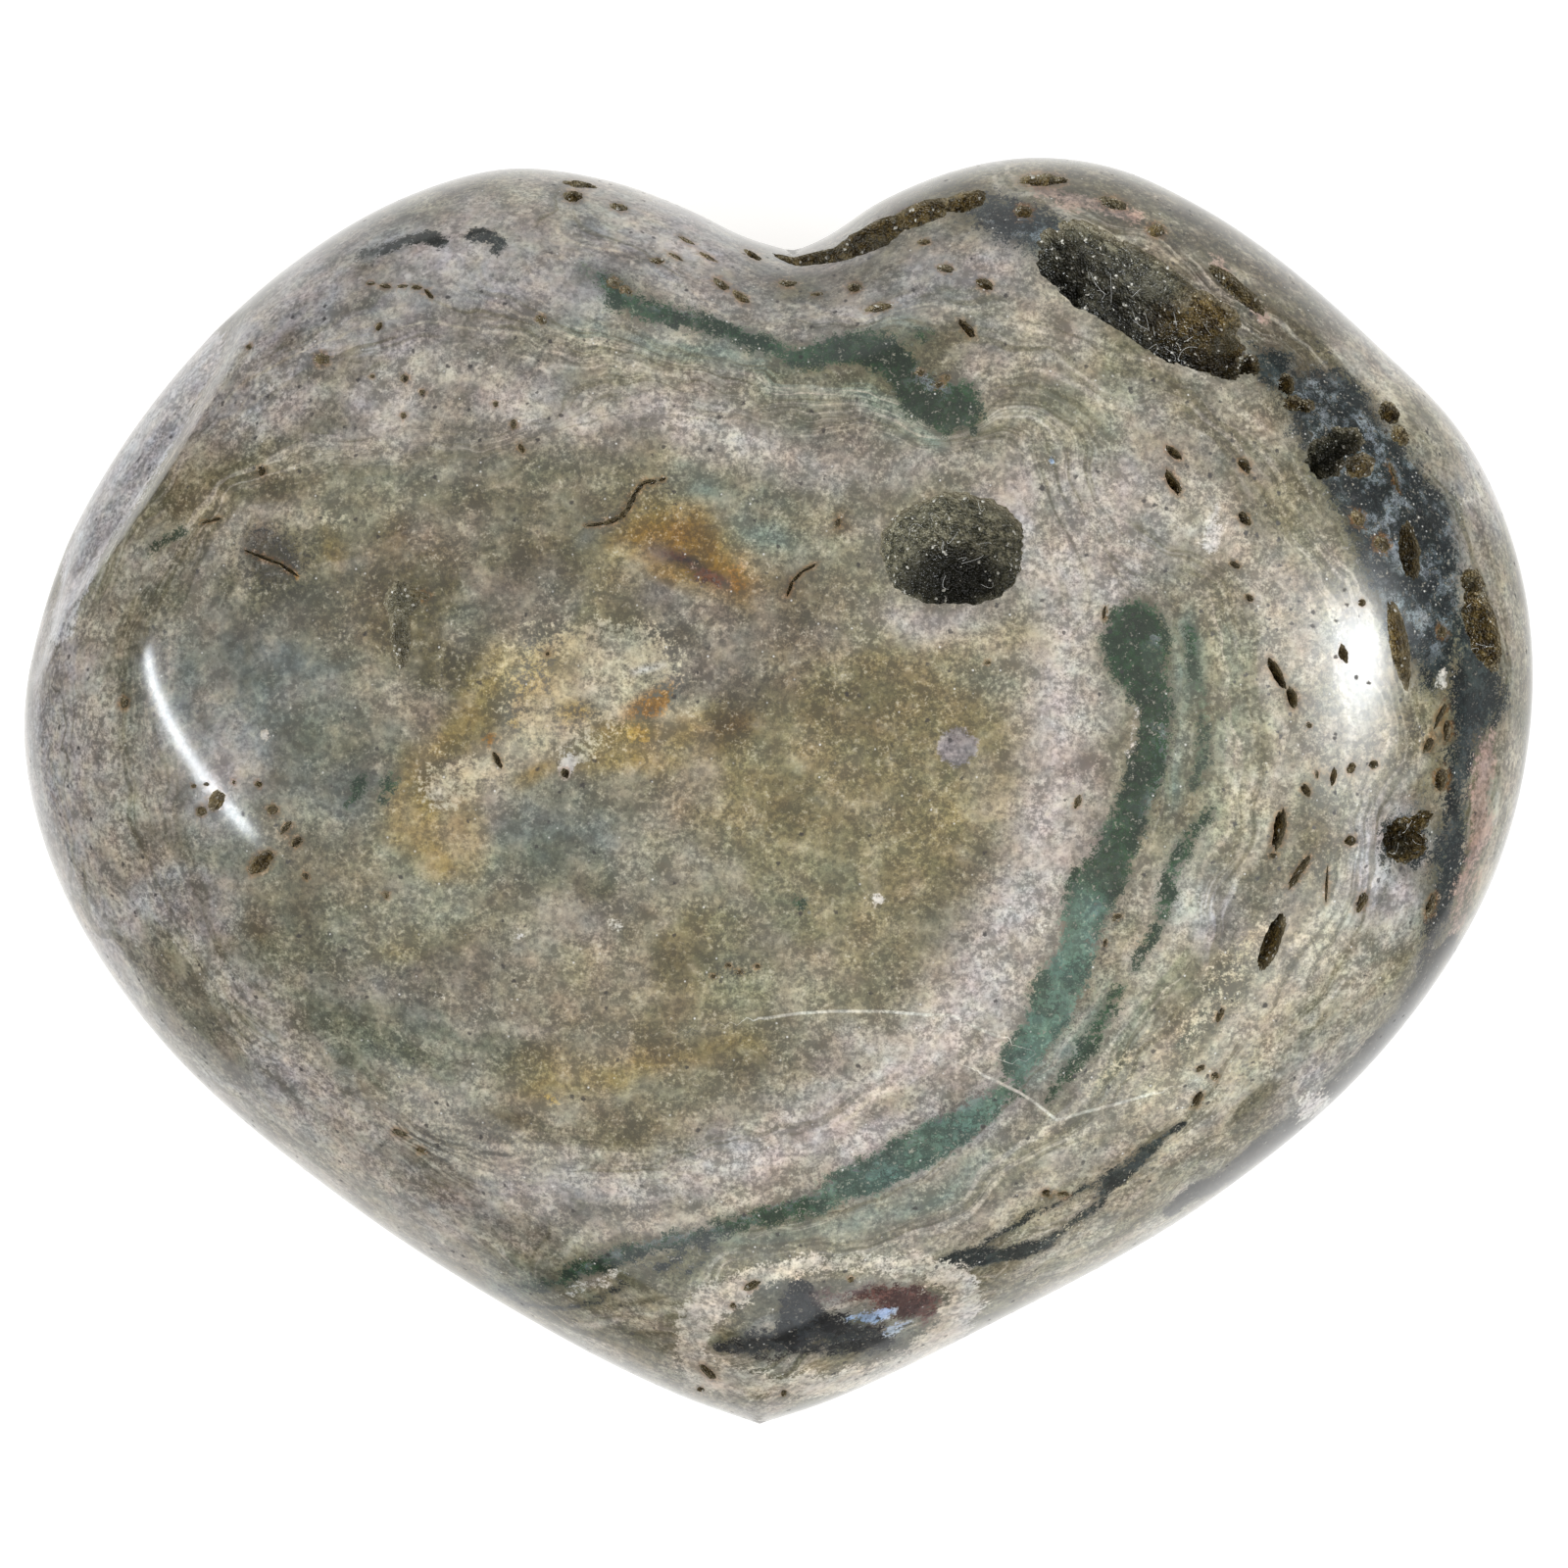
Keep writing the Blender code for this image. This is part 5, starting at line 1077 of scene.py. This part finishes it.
def paint_marks(mesh, places, name, marks):
    """One colour and one share for a group of marks; each colour spreads past its own edge."""
    colours = np.tile(srgb(marks[0][1])[:3], (len(places), 1))
    total = np.zeros(len(places))
    for mark, shade, softness in marks:
        total = np.maximum(total, mark_field(places, mark, softness))
        near = mark_field(places, mark, softness + 2 * COLOUR_SPREAD)
        near = np.clip(near * 2.2, 0, 1)[:, None]
        colours += (np.array(srgb(shade)[:3]) - colours) * near
    write_colour(mesh, name + "_colour", colours)
    write_field(mesh, name + "_share", total)


def halo(shapes, growth, margin, strength):
    """Patches round hollows, each larger than its hollow."""
    (longer, wider), (beyond, beside) = growth, margin
    return [(x, y, a * longer + beyond, b * wider + beside, turn, strength) for x, y, a, b, _, turn in shapes]


def paint_surface(mesh, points, seen):
    """The fields that shape the grain, the gloss and the stains."""
    fields = {name: mark_field(seen, name, softness) for name, softness in SURFACE_FIELDS}
    stained = [vug[1:7] for vug in VUGS if vug[9] != "dark"]
    fields["stain"] = patch_field(seen, halo(PITS, (1.25, 1.4), (0.1, 0.12), 0.8), 0.5)
    amber = halo(stained, (1.15, 1.3), (0, 0), 1.0) + halo(PITS, (1.5, 1.5), (0.1, 0.1), 1.0)
    fields["amber"] = patch_field(seen, amber, 0.8)
    clouds = [noise.fractal(Vector(point) / CLOUD_SIZE, 0.7, 2.0, 3) for point in points]
    fields["cloud"] = 0.5 + 0.5 * np.array(clouds)
    fields["seam"] = seam_field(seen)
    across, up, half_width, half_length = CALM_OVAL
    outward = np.hypot((seen[:, 0] - across) / half_width, (seen[:, 1] - up) / half_length)
    fields["streaky"] = np.clip((outward - 0.75) / 0.5, 0, 1)
    fields["below_face"] = np.zeros(len(points))
    front = points[:, 2] > EQUATOR
    fields["below_face"][front] = EQUATOR + front_height(points[front, :2]) - points[front, 2]
    for name, values in fields.items():
        write_field(mesh, name, values)


def paint_stone(mesh):
    """Writes all markings to the stone's points."""
    points = read_rows(mesh.vertices, "co", 3) / MM
    seen = seen_places(points)
    wavered = seen + sum(waver(points, *wandering) for wandering in GROUND_WAVERS)
    paint_ground(mesh, wavered)
    write_field(mesh, "flow", flow_field(wavered))
    lightly = seen + waver(points, *MARK_WAVER)
    paint_marks(mesh, lightly, "dark", DARK_MARKS)
    paint_marks(mesh, lightly, "pale", PALE_MARKS)
    paint_surface(mesh, points, seen)


def srgb(text):
    """A hex colour as linear red, green, blue and alpha."""
    parts = [int(text[i:i + 2], 16) / 255 for i in (1, 3, 5)]
    return tuple(p / 12.92 if p <= 0.04045 else ((p + 0.055) / 1.055) ** 2.4 for p in parts) + (1.0,)


def fill(tree, node, inputs):
    """Sets a node's inputs; each is a value, a socket, or a node's first output."""
    for key, value in inputs.items():
        if isinstance(value, bpy.types.Node):
            value = value.outputs[0]
        if isinstance(value, bpy.types.NodeSocket):
            tree.links.new(value, node.inputs[key])
        else:
            node.inputs[key].default_value = value


def add(tree, kind, inputs=None, **settings):
    """Adds a node with its settings and its inputs."""
    node = tree.nodes.new("ShaderNode" + kind)
    for name, value in settings.items():
        setattr(node, name, value)
    fill(tree, node, inputs or {})
    return node


def weighted_sum(tree, start, *terms):
    """The start plus each value times its weight."""
    for value, weight in terms:
        start = add(tree, "Math", {0: value, 1: weight, 2: start}, operation="MULTIPLY_ADD")
    return start


def product(tree, total, ramps, **settings):
    """The total times values that are each brought from one range to another."""
    for value, low, high, start, end in ramps:
        ramp = add(tree, "MapRange", {"Value": value, "From Min": low, "From Max": high,
                                      "To Min": start, "To Max": end}, **settings)
        total = add(tree, "Math", {0: ramp, 1: total}, operation="MULTIPLY")
    return total


def lay_over(tree, colour, layers):
    """Lays colours over one another.

    Each layer has a value, the levels where it shows not at all and in full, its full share, its
    colour, and a part that the share is multiplied by. Returns the colour and the last share.
    """
    for value, none, full, most, shade, part in layers:
        share = product(tree, part, [(value, none, full, 0.0, most)], interpolation_type="SMOOTHSTEP")
        colour = add(tree, "MixRGB", {"Fac": share, "Color1": colour, "Color2": shade})
    return colour, share


def new_material(name):
    """A new material, its tree, and its Object coordinates in millimetres."""
    material = bpy.data.materials.new(name)
    material.use_nodes = True
    tree = material.node_tree
    place = add(tree, "TexCoord").outputs["Object"]
    place = add(tree, "VectorMath", {0: place, "Scale": 1 / MM}, operation="SCALE").outputs[0]
    return material, tree, place


def polished_jasper():
    """Orbicular jasper, tumbled and wheel polished: sugary quartz grains under a glassy skin."""
    material, tree, place = new_material("polished orbicular jasper")
    ground, dark_colour, pale_colour = [
        add(tree, "Attribute", attribute_name=name).outputs["Color"]
        for name in ("ground", "dark_colour", "pale_colour")
    ]
    dark, pale, cloud, flow, streaky, druse, seam, stain, calm, porous, dull = [
        add(tree, "Attribute", attribute_name=name).outputs["Fac"]
        for name in ("dark_share", "pale_share", "cloud", "flow", "streaky", "druse", "seam",
                     "stain", "calm", "porous", "dull")
    ]
    # Streaks about 0.5 to 3 mm apart follow the layers of the rock.
    sides = add(tree, "SeparateXYZ", {"Vector": place})
    along = [weighted_sum(tree, 0.0, (sides.outputs[i], 0.09)) for i in (0, 1)]
    lanes = add(tree, "CombineXYZ", {"X": flow, "Y": along[0], "Z": along[1]})
    # Quartz grains are 0.1 to 0.8 mm across, the hues 1 to 5 mm and the cloudy patches 2 to 8 mm.
    fine, middle, streaks, hue_noise, orange_peel = [
        add(tree, "TexNoise", {"Vector": vector, "Scale": scale, "Detail": detail, "Roughness": rough})
        for vector, scale, detail, rough in (
            (place, 3.0, 2.4, 0.95), (place, 0.55, 2.4, 0.75), (lanes, 0.85, 2.6, 0.75),
            (place, 0.42, 2.5, 0.8), (place, 2.2, 1.5, 0.7))
    ]
    streak_part = weighted_sum(tree, 0.0, (streaky, 0.6))
    colour, _ = lay_over(tree, ground, [
        (cloud, 0.5, 0.25, 0.3, srgb("#433512"), 1.0),
        (cloud, 0.5, 0.75, 0.3, srgb("#988d80"), 1.0),
        (middle, 0.5, 0.72, 0.3, srgb("#938b77"), 1.0),
        (middle, 0.48, 0.3, 0.25, srgb("#4c442a"), 1.0),
        (streaks, 0.51, 0.64, 1.0, srgb("#a89f8f"), streak_part),
        (streaks, 0.48, 0.36, 1.0, srgb("#534d35"), streak_part),
    ])

    # The grain frays the edges of the marks, and the dark ones are mottled with fine crystals.
    edge_shift = weighted_sum(tree, -1.35, (fine, 1.7), (middle, 1.0))
    dark_here = weighted_sum(tree, edge_shift, (dark, 1.0))
    colour, dark_share = lay_over(tree, colour, [(dark_here, 0.38, 0.7, 0.96, dark_colour, 1.0)])
    mottle = weighted_sum(tree, -0.4, (middle, 1.0), (fine, 0.8))
    sugary = weighted_sum(tree, 0.08, (druse, 0.72))
    colour, _ = lay_over(tree, colour, [
        (mottle, 0.48, 0.56, 0.7, srgb("#121212"), dark_share),
        (mottle, 0.48, 0.42, 1.0, srgb("#8d9496"), weighted_sum(tree, 0.0, (dark_share, sugary))),
        (weighted_sum(tree, edge_shift, (pale, 1.0)), 0.38, 0.7, 0.9, pale_colour, 1.0),
        (add(tree, "Math", {0: seam}, operation="ABSOLUTE"), 0.12, 0.03, 0.6, srgb("#c0bbaf"), 1.0),
        (weighted_sum(tree, -0.7, (fine, 1.4), (stain, 1.0)), 0.3, 0.8, 0.6, srgb("#664312"), 1.0),
    ])

    # Each quartz grain keeps a tone of its own, and iron and clay tint it warmer or greener.
    glints = add(tree, "TexVoronoi", {"Vector": place, "Scale": 4.2})
    glint_pick = add(tree, "SeparateColor", {0: glints.outputs["Color"]}).outputs
    hues = add(tree, "SeparateColor", {0: hue_noise.outputs["Color"]}).outputs
    # The grain is weaker where the chalcedony is clear.
    strength = product(tree, 1.0, [(calm, 0.0, 1.0, 1.0, 0.5), (hues[2], 0.36, 0.62, 0.5, 1.35)],
                       interpolation_type="SMOOTHSTEP")
    grain = weighted_sum(tree, -1.65, (fine, 3.3))
    tone = weighted_sum(tree, -0.2, (middle, 1.9), (glint_pick[2], 0.5), (grain, strength))
    tone = add(tree, "Math", {0: tone, 1: 0.6}, operation="MAXIMUM")
    tint = [
        weighted_sum(tree, 1 - 0.5 * amount, (hues[i], amount))
        for i, amount in ((0, 0.38), (1, 0.24), (0, -0.38))
    ]
    for red, green, blue in ((tone, tone, tone), tint):
        factor = add(tree, "CombineColor", {0: red, 1: green, 2: blue})
        colour = add(tree, "MixRGB", {"Fac": 1.0, "Color1": colour, "Color2": factor}, blend_type="MULTIPLY")

    # Open pores, 0.05 to 0.2 mm, as dark dots, and painted glints: pale specks painted where single crystal
    # faces would catch the light.
    cells = add(tree, "TexVoronoi", {"Vector": place, "Scale": 1.7})
    cell_pick = add(tree, "SeparateColor", {0: cells.outputs["Color"]})
    pore_here = add(tree, "Math", {0: cell_pick, 1: weighted_sum(tree, 0.93, (porous, -0.25))},
                    operation="GREATER_THAN")
    pore_place = weighted_sum(tree, -0.25, (cells, 1.0), (fine, 0.5))
    colour, pore = lay_over(tree, colour, [
        (fine, 0.56, 0.7, 0.35, srgb("#b4ac9c"), strength),
        (pore_place, 0.26, 0.14, 0.75, srgb("#191212"), pore_here),
    ])
    painted_sparkle = product(tree, druse, [(middle, 0.42, 0.62, 0.0, 0.4)], interpolation_type="SMOOTHSTEP")
    painted_glint_here = add(tree, "Math", {0: glint_pick[1], 1: weighted_sum(tree, 0.975, (painted_sparkle, -1.0))},
                     operation="GREATER_THAN")
    colour, _ = lay_over(tree, colour, [
        (glints, 0.32, 0.12, 0.85, srgb("#d8d5ce"), weighted_sum(tree, 0.0, (painted_glint_here, glint_pick[0]))),
        (fine, 0.5, 0.38, 0.6, srgb("#121212"), druse),
    ])

    # The wheel leaves hard grains proud by a few thousandths of a millimetre.
    height = weighted_sum(tree, 0.0, (orange_peel, weighted_sum(tree, 0.03, (dull, 0.25))))
    fill(tree, tree.nodes["Principled BSDF"], {
        "Base Color": colour,
        "Roughness": weighted_sum(tree, 0.12, (dull, 0.16), (pore, 0.4), (druse, 0.12)),
        "IOR": 1.54,
        "Normal": add(tree, "Bump", {"Height": height, "Strength": 0.35, "Distance": 0.06 * MM}),
    })
    return material


def druse_wall():
    """Fine quartz crystals grown on the wall of a hollow, clear over dark rock, stained in places. The dark
    between the crystals is partly painted shade, and the wall is painted darker with depth.
    """
    material, tree, place = new_material("quartz druse")
    fine = add(tree, "TexNoise", {"Vector": place, "Scale": 1.9, "Detail": 5.0, "Roughness": 0.85})
    broad = add(tree, "TexNoise", {"Vector": place, "Scale": 0.5, "Detail": 3.0, "Roughness": 0.6})
    facets = add(tree, "TexVoronoi", {"Vector": place, "Scale": 7.5})
    amber, below, deep = [
        add(tree, "Attribute", attribute_name=name).outputs["Fac"] for name in ("amber", "below_face", "deep")
    ]
    clear, stained = [
        lay_over(tree, srgb(shadow), [(fine, 0.42, 0.62, 1.0, srgb(crystal), 1.0)])[0]
        for shadow, crystal in (("#3a392b", "#989279"), ("#3a2d15", "#86703f"))
    ]
    colour = add(tree, "MixRGB", {"Fac": amber, "Color1": clear, "Color2": stained})
    # Painted light and shade: the wall is painted paler near the rim and darker with depth, darkest over the
    # deep patches.
    colour, _ = lay_over(tree, colour, [
        (broad, 0.5, 0.66, 0.45, srgb("#777461"), 1.0),
        (below, 0.9, 0.0, 0.55, srgb("#988d74"), 1.0),
        (below, 2.4, 3.4, 0.8, srgb("#12110c"), 1.0),
        (deep, 0.0, 1.0, 0.72, srgb("#15150f"), 1.0),
    ])
    # Painted glints: a few crystal facets are painted near white.
    pick = add(tree, "SeparateColor", {0: facets.outputs["Color"]})
    painted_spark = add(tree, "Math", {0: pick, 1: 0.983}, operation="GREATER_THAN")
    fill(tree, tree.nodes["Principled BSDF"], {
        "Base Color": add(tree, "MixRGB", {"Fac": painted_spark, "Color1": colour, "Color2": srgb("#d8d4c8")}),
        "Roughness": 0.22,
        "IOR": 1.54,
        "Normal": add(tree, "Bump", {"Height": facets, "Strength": 0.8, "Distance": 0.15 * MM}),
    })
    return material


def crystal_shape():
    """A six-sided quartz prism with a pointed end, one unit wide, standing on its foot."""
    select_only()
    bpy.ops.mesh.primitive_cylinder_add(vertices=6, radius=0.5, depth=0.9, location=(0, 0, 0.45))
    crystal = bpy.context.object
    bpy.ops.object.transform_apply(location=True)
    for face in crystal.data.polygons:
        face.select = face.normal.z > 0.9
    for side in crystal.data.edges:
        side.select = False
    for vertex in crystal.data.vertices:
        vertex.select = vertex.co.z > 0.8
    bpy.ops.object.mode_set(mode="EDIT")
    bpy.ops.mesh.extrude_region_move(TRANSFORM_OT_translate={"value": (0, 0, 0.5)})
    bpy.ops.mesh.merge(type="COLLAPSE")
    bpy.ops.object.mode_set(mode="OBJECT")
    corners = read_rows(crystal.data.vertices, "co", 3)
    faces = [tuple(face.vertices) for face in crystal.data.polygons]
    bpy.data.objects.remove(crystal)
    return corners, faces


def clear_quartz():
    """Clear quartz: glassy crystal faces over the dark wall, faintly smoky."""
    material, tree, place = new_material("clear quartz crystals")
    cloud = add(tree, "TexNoise", {"Vector": place, "Scale": 2.5, "Detail": 2.0})
    tint = add(tree, "MixRGB", {"Fac": cloud, "Color1": srgb("#8e8970"), "Color2": srgb("#d8d5c8")})
    fill(tree, tree.nodes["Principled BSDF"], {
        "Base Color": tint,
        "Transmission Weight": 0.85,
        "IOR": 1.544,
        "Roughness": 0.06,
    })
    return material


def crystal_feet(stone):
    """The faces that crystals can stand on, their middles and normals, and each one's chance."""
    faces = stone.data.polygons
    walls = np.flatnonzero(read_rows(faces, "material_index", 1)[:, 0] == 1)
    middles = read_rows(faces, "center", 3)[walls] / MM
    depth = EQUATOR + front_height(middles[:, :2]) - middles[:, 2]
    large = np.zeros(len(walls))
    for _, across, up, length, _, deep, *_ in VUGS:
        spot, _, _ = face_spot(across, up)
        gap = np.linalg.norm(middles[:, :2] - np.array(spot[:2]), axis=1)
        large = np.maximum(large, (gap < length + 0.8) * (deep > 1.2))
    chance = read_rows(faces, "area", 1)[walls, 0] * (depth > 0.35) * large
    return middles, read_rows(faces, "normal", 3)[walls], chance / chance.sum()


def grow_crystals(stone):
    """Small clear crystals standing on the walls of the larger hollows."""
    middles, normals, chance = crystal_feet(stone)
    rng = np.random.default_rng(CRYSTAL_SEED)
    chosen = rng.choice(len(middles), CRYSTAL_COUNT, p=chance)
    corners, faces = crystal_shape()
    axis = normals[chosen] + rng.normal(0, 0.35, (CRYSTAL_COUNT, 3))
    axis /= np.linalg.norm(axis, axis=1)[:, None]
    first = np.cross(axis, rng.normal(0, 1, (CRYSTAL_COUNT, 3)))
    first /= np.linalg.norm(first, axis=1)[:, None]
    second = np.cross(axis, first)
    width = rng.uniform(*CRYSTAL_WIDTHS, CRYSTAL_COUNT)
    tall = width * rng.uniform(0.6, 1.2, CRYSTAL_COUNT)
    frames = np.stack([first * width[:, None], second * width[:, None], axis * tall[:, None]], 1)
    foot = middles[chosen] - axis * (0.35 * tall)[:, None]
    points = np.einsum("ij,njk->nik", corners, frames) + foot[:, None]
    all_faces = [tuple(i + n * len(corners) for i in face) for n in range(CRYSTAL_COUNT) for face in faces]
    grown = bpy.data.meshes.new("druse_crystals")
    grown.from_pydata((points.reshape(-1, 3) * MM).tolist(), [], all_faces)
    grown.materials.append(clear_quartz())
    piece = bpy.data.objects.new("druse_crystals", grown)
    bpy.context.scene.collection.objects.link(piece)
    return piece


def cotton_lint():
    """Cotton from the polishing cloth: dull, pale and uneven in tone."""
    material, tree, place = new_material("cotton lint")
    fuzz = add(tree, "TexNoise", {"Vector": place, "Scale": 4.0})
    tint = add(tree, "MixRGB", {"Fac": fuzz, "Color1": srgb("#bdbab2"), "Color2": srgb("#efeee9")})
    fill(tree, tree.nodes["Principled BSDF"], {"Base Color": tint, "Roughness": 0.7})
    return material


def lint_fibres():
    """Fine pale fibres caught on the crystals and left from the polishing cloth."""
    rng = np.random.default_rng(LINT_SEED)
    curve = bpy.data.curves.new("lint_fibres", "CURVE")
    curve.dimensions = "3D"
    curve.bevel_depth = LINT_RADIUS * MM
    curve.bevel_resolution = 0
    curve.use_fill_caps = True
    hollows = {vug[0]: vug[1:7] for vug in VUGS}
    for name, count in FIBRES.items():
        across, up, length, width, depth, turn = hollows[name]
        angle = math.radians(turn)
        for _ in range(count):
            ends = []
            middle_x, middle_y = rng.uniform(-0.65, 0.65, 2)
            for _ in range(3):
                way = rng.uniform(0, 2 * math.pi)
                far = rng.uniform(0.2, 1.0)
                x = length * middle_x + far * math.cos(way)
                y = width * middle_y + 0.8 * far * math.sin(way)
                x, y = x * math.cos(angle) - y * math.sin(angle), x * math.sin(angle) + y * math.cos(angle)
                spot, _, _ = face_spot(across + x, up + y)
                ends.append(np.array(spot) - (0, 0, depth * rng.uniform(0.05, 0.45)))
            spline = curve.splines.new("POLY")
            steps = np.linspace(0, 1, 9)[:, None]
            path = ends[0] * (1 - steps) ** 2 + ends[1] * 2 * steps * (1 - steps) + ends[2] * steps**2
            spline.points.add(len(path) - 1)
            spline.points.foreach_set("co", np.column_stack([path * MM, np.ones(len(path))]).ravel())
    fibres = bpy.data.objects.new("lint_fibres", curve)
    bpy.context.scene.collection.objects.link(fibres)
    select_only(fibres)
    bpy.ops.object.convert(target="MESH")
    fibres = bpy.context.object
    fibres.data.materials.clear()
    fibres.data.materials.append(cotton_lint())
    return fibres


def lay_floor():
    """A white sheet that glows with painted light, as if lit softly from below, most on the left where the
    stone's shadow would fall; it darkens outside the view and ends on a grey table.
    """
    bpy.ops.mesh.primitive_plane_add(size=3)
    floor = bpy.context.object
    floor.name = "floor"
    material, tree, place = new_material("white paper sheet on a pale table")
    sides = add(tree, "SeparateXYZ", {0: place})
    across, up = sides.outputs[0], sides.outputs[1]
    up_or_down = add(tree, "Math", {0: up}, operation="ABSOLUTE")
    off_middle = add(tree, "Math", {0: across, 1: -4.0})
    off_middle = add(tree, "Math", {0: off_middle}, operation="ABSOLUTE")
    far, lit_side, out_of_view = [
        add(tree, "Math", {0: one, 1: weighted_sum(tree, 0.0, (other, weight))}, operation="MAXIMUM")
        for one, other, weight in (
            (off_middle, up, -1.0), (across, up_or_down, 0.6), (across, up_or_down, 1.0))
    ]
    on_table = product(tree, 1.0, [(far, 63.0, 67.0, 0.0, 1.0)])
    painted_glow = product(tree, 1.0, [(lit_side, 5.0, 26.0, 0.87, 0.70), (out_of_view, 43.0, 52.0, 1.0, 0.55),
                               (far, 63.0, 67.0, 1.0, 0.1)])
    colour = add(tree, "MixRGB", {"Fac": on_table, "Color1": srgb("#a0a0a0"), "Color2": srgb("#707070")})
    fill(tree, tree.nodes["Principled BSDF"], {
        "Base Color": colour,
        "Roughness": 0.9,
        "Emission Color": srgb("#fffdfa"),
        "Emission Strength": painted_glow,
    })
    floor.data.materials.append(material)


def sky_place(azimuth, elevation, distance):
    """A place in metres, from its direction in degrees and its distance."""
    a, e = math.radians(azimuth), math.radians(elevation)
    return Vector((math.cos(e) * math.cos(a), math.cos(e) * math.sin(a), math.sin(e))) * distance


# Long lights: name, the places of the two ends, width in metres, power in watts.
LIGHTS = [
    ("left strip", sky_place(169, 25, 0.5), sky_place(197, 45, 0.5), 0.013, 0.42),
    ("right box", sky_place(3, 38, 0.5), sky_place(14, 38, 0.5), 0.045, 0.78),
    ("right diffuser", sky_place(-10, 36, 0.54), sky_place(22, 40, 0.54), 0.15, 0.6),
    ("low right panel", sky_place(-42, 24, 0.5), sky_place(-6, 26, 0.5), 0.22, 0.35),
    ("back panel", (-0.45, 0.5, 0.15), (0.45, 0.5, 0.15), 0.32, 0.75),
    ("front panel", (-0.4, -0.48, 0.2), (0.5, -0.48, 0.2), 0.3, 1.1),
]
LIGHT_COLOUR = (0.90, 0.95, 1.0)
LIGHTS_AIM = Vector((0, 0, 0.02))


def strip_light(name, start, end, width, power):
    """A long light whose ends stand at two places and which faces the stone."""
    a, b = Vector(start), Vector(end)
    middle = (a + b) / 2
    along = (b - a).normalized()
    facing = (middle - LIGHTS_AIM).normalized()
    aside = facing.cross(along).normalized()
    facing = along.cross(aside)
    light = bpy.data.lights.new(name, "AREA")
    light.shape = "RECTANGLE"
    light.size, light.size_y = (b - a).length, width
    light.energy = power
    light.color = LIGHT_COLOUR
    lamp = bpy.data.objects.new(name, light)
    turn = Matrix((along, aside, facing)).transposed()
    lamp.matrix_world = Matrix.Translation(middle) @ turn.to_4x4()
    bpy.context.scene.collection.objects.link(lamp)


def set_lights():
    """A studio whose walls are dim and whose ceiling is bright, and the long lights."""
    world = bpy.data.worlds.new("studio")
    bpy.context.scene.world = world
    world.use_nodes = True
    tree = world.node_tree
    direction = add(tree, "TexCoord").outputs["Generated"]
    up = add(tree, "SeparateXYZ", {0: direction}).outputs[2]
    strength = product(tree, 1.0, [(up, 0.25, 0.8, 0.12, 1.05)])
    fill(tree, tree.nodes["Background"], {"Color": (1, 1, 1, 1), "Strength": strength})
    for light in LIGHTS:
        strip_light(*light)
    bpy.context.scene.view_settings.view_transform = "Standard"


def set_camera():
    """The camera over the middle of the face, its field as wide as the photograph's."""
    camera = bpy.data.cameras.new("camera")
    camera.sensor_width = SENSOR_WIDTH
    camera.lens = SENSOR_WIDTH * CAMERA_DISTANCE / FIELD_WIDTH
    camera.clip_start, camera.clip_end = 0.01, 10
    holder = bpy.data.objects.new("camera", camera)
    holder.location = (CAMERA_ACROSS * MM, CAMERA_UP * MM, (EQUATOR + CAMERA_DISTANCE) * MM)
    bpy.context.scene.collection.objects.link(holder)
    bpy.context.scene.camera = holder


stone = heart_skin()
stone.data.materials.append(polished_jasper())
stone.data.materials.append(druse_wall())
cut_hollows(stone)
stone.data.polygons.foreach_set("use_smooth", [True] * len(stone.data.polygons))
select_only(stone)
bpy.ops.object.shade_smooth_by_angle(angle=SMOOTH_BELOW)
paint_stone(stone.data)
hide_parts("heart_stone")
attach(stone, "root")
for piece in (grow_crystals(stone), lint_fibres()):
    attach(piece, "root")
lay_floor()
set_lights()
set_camera()
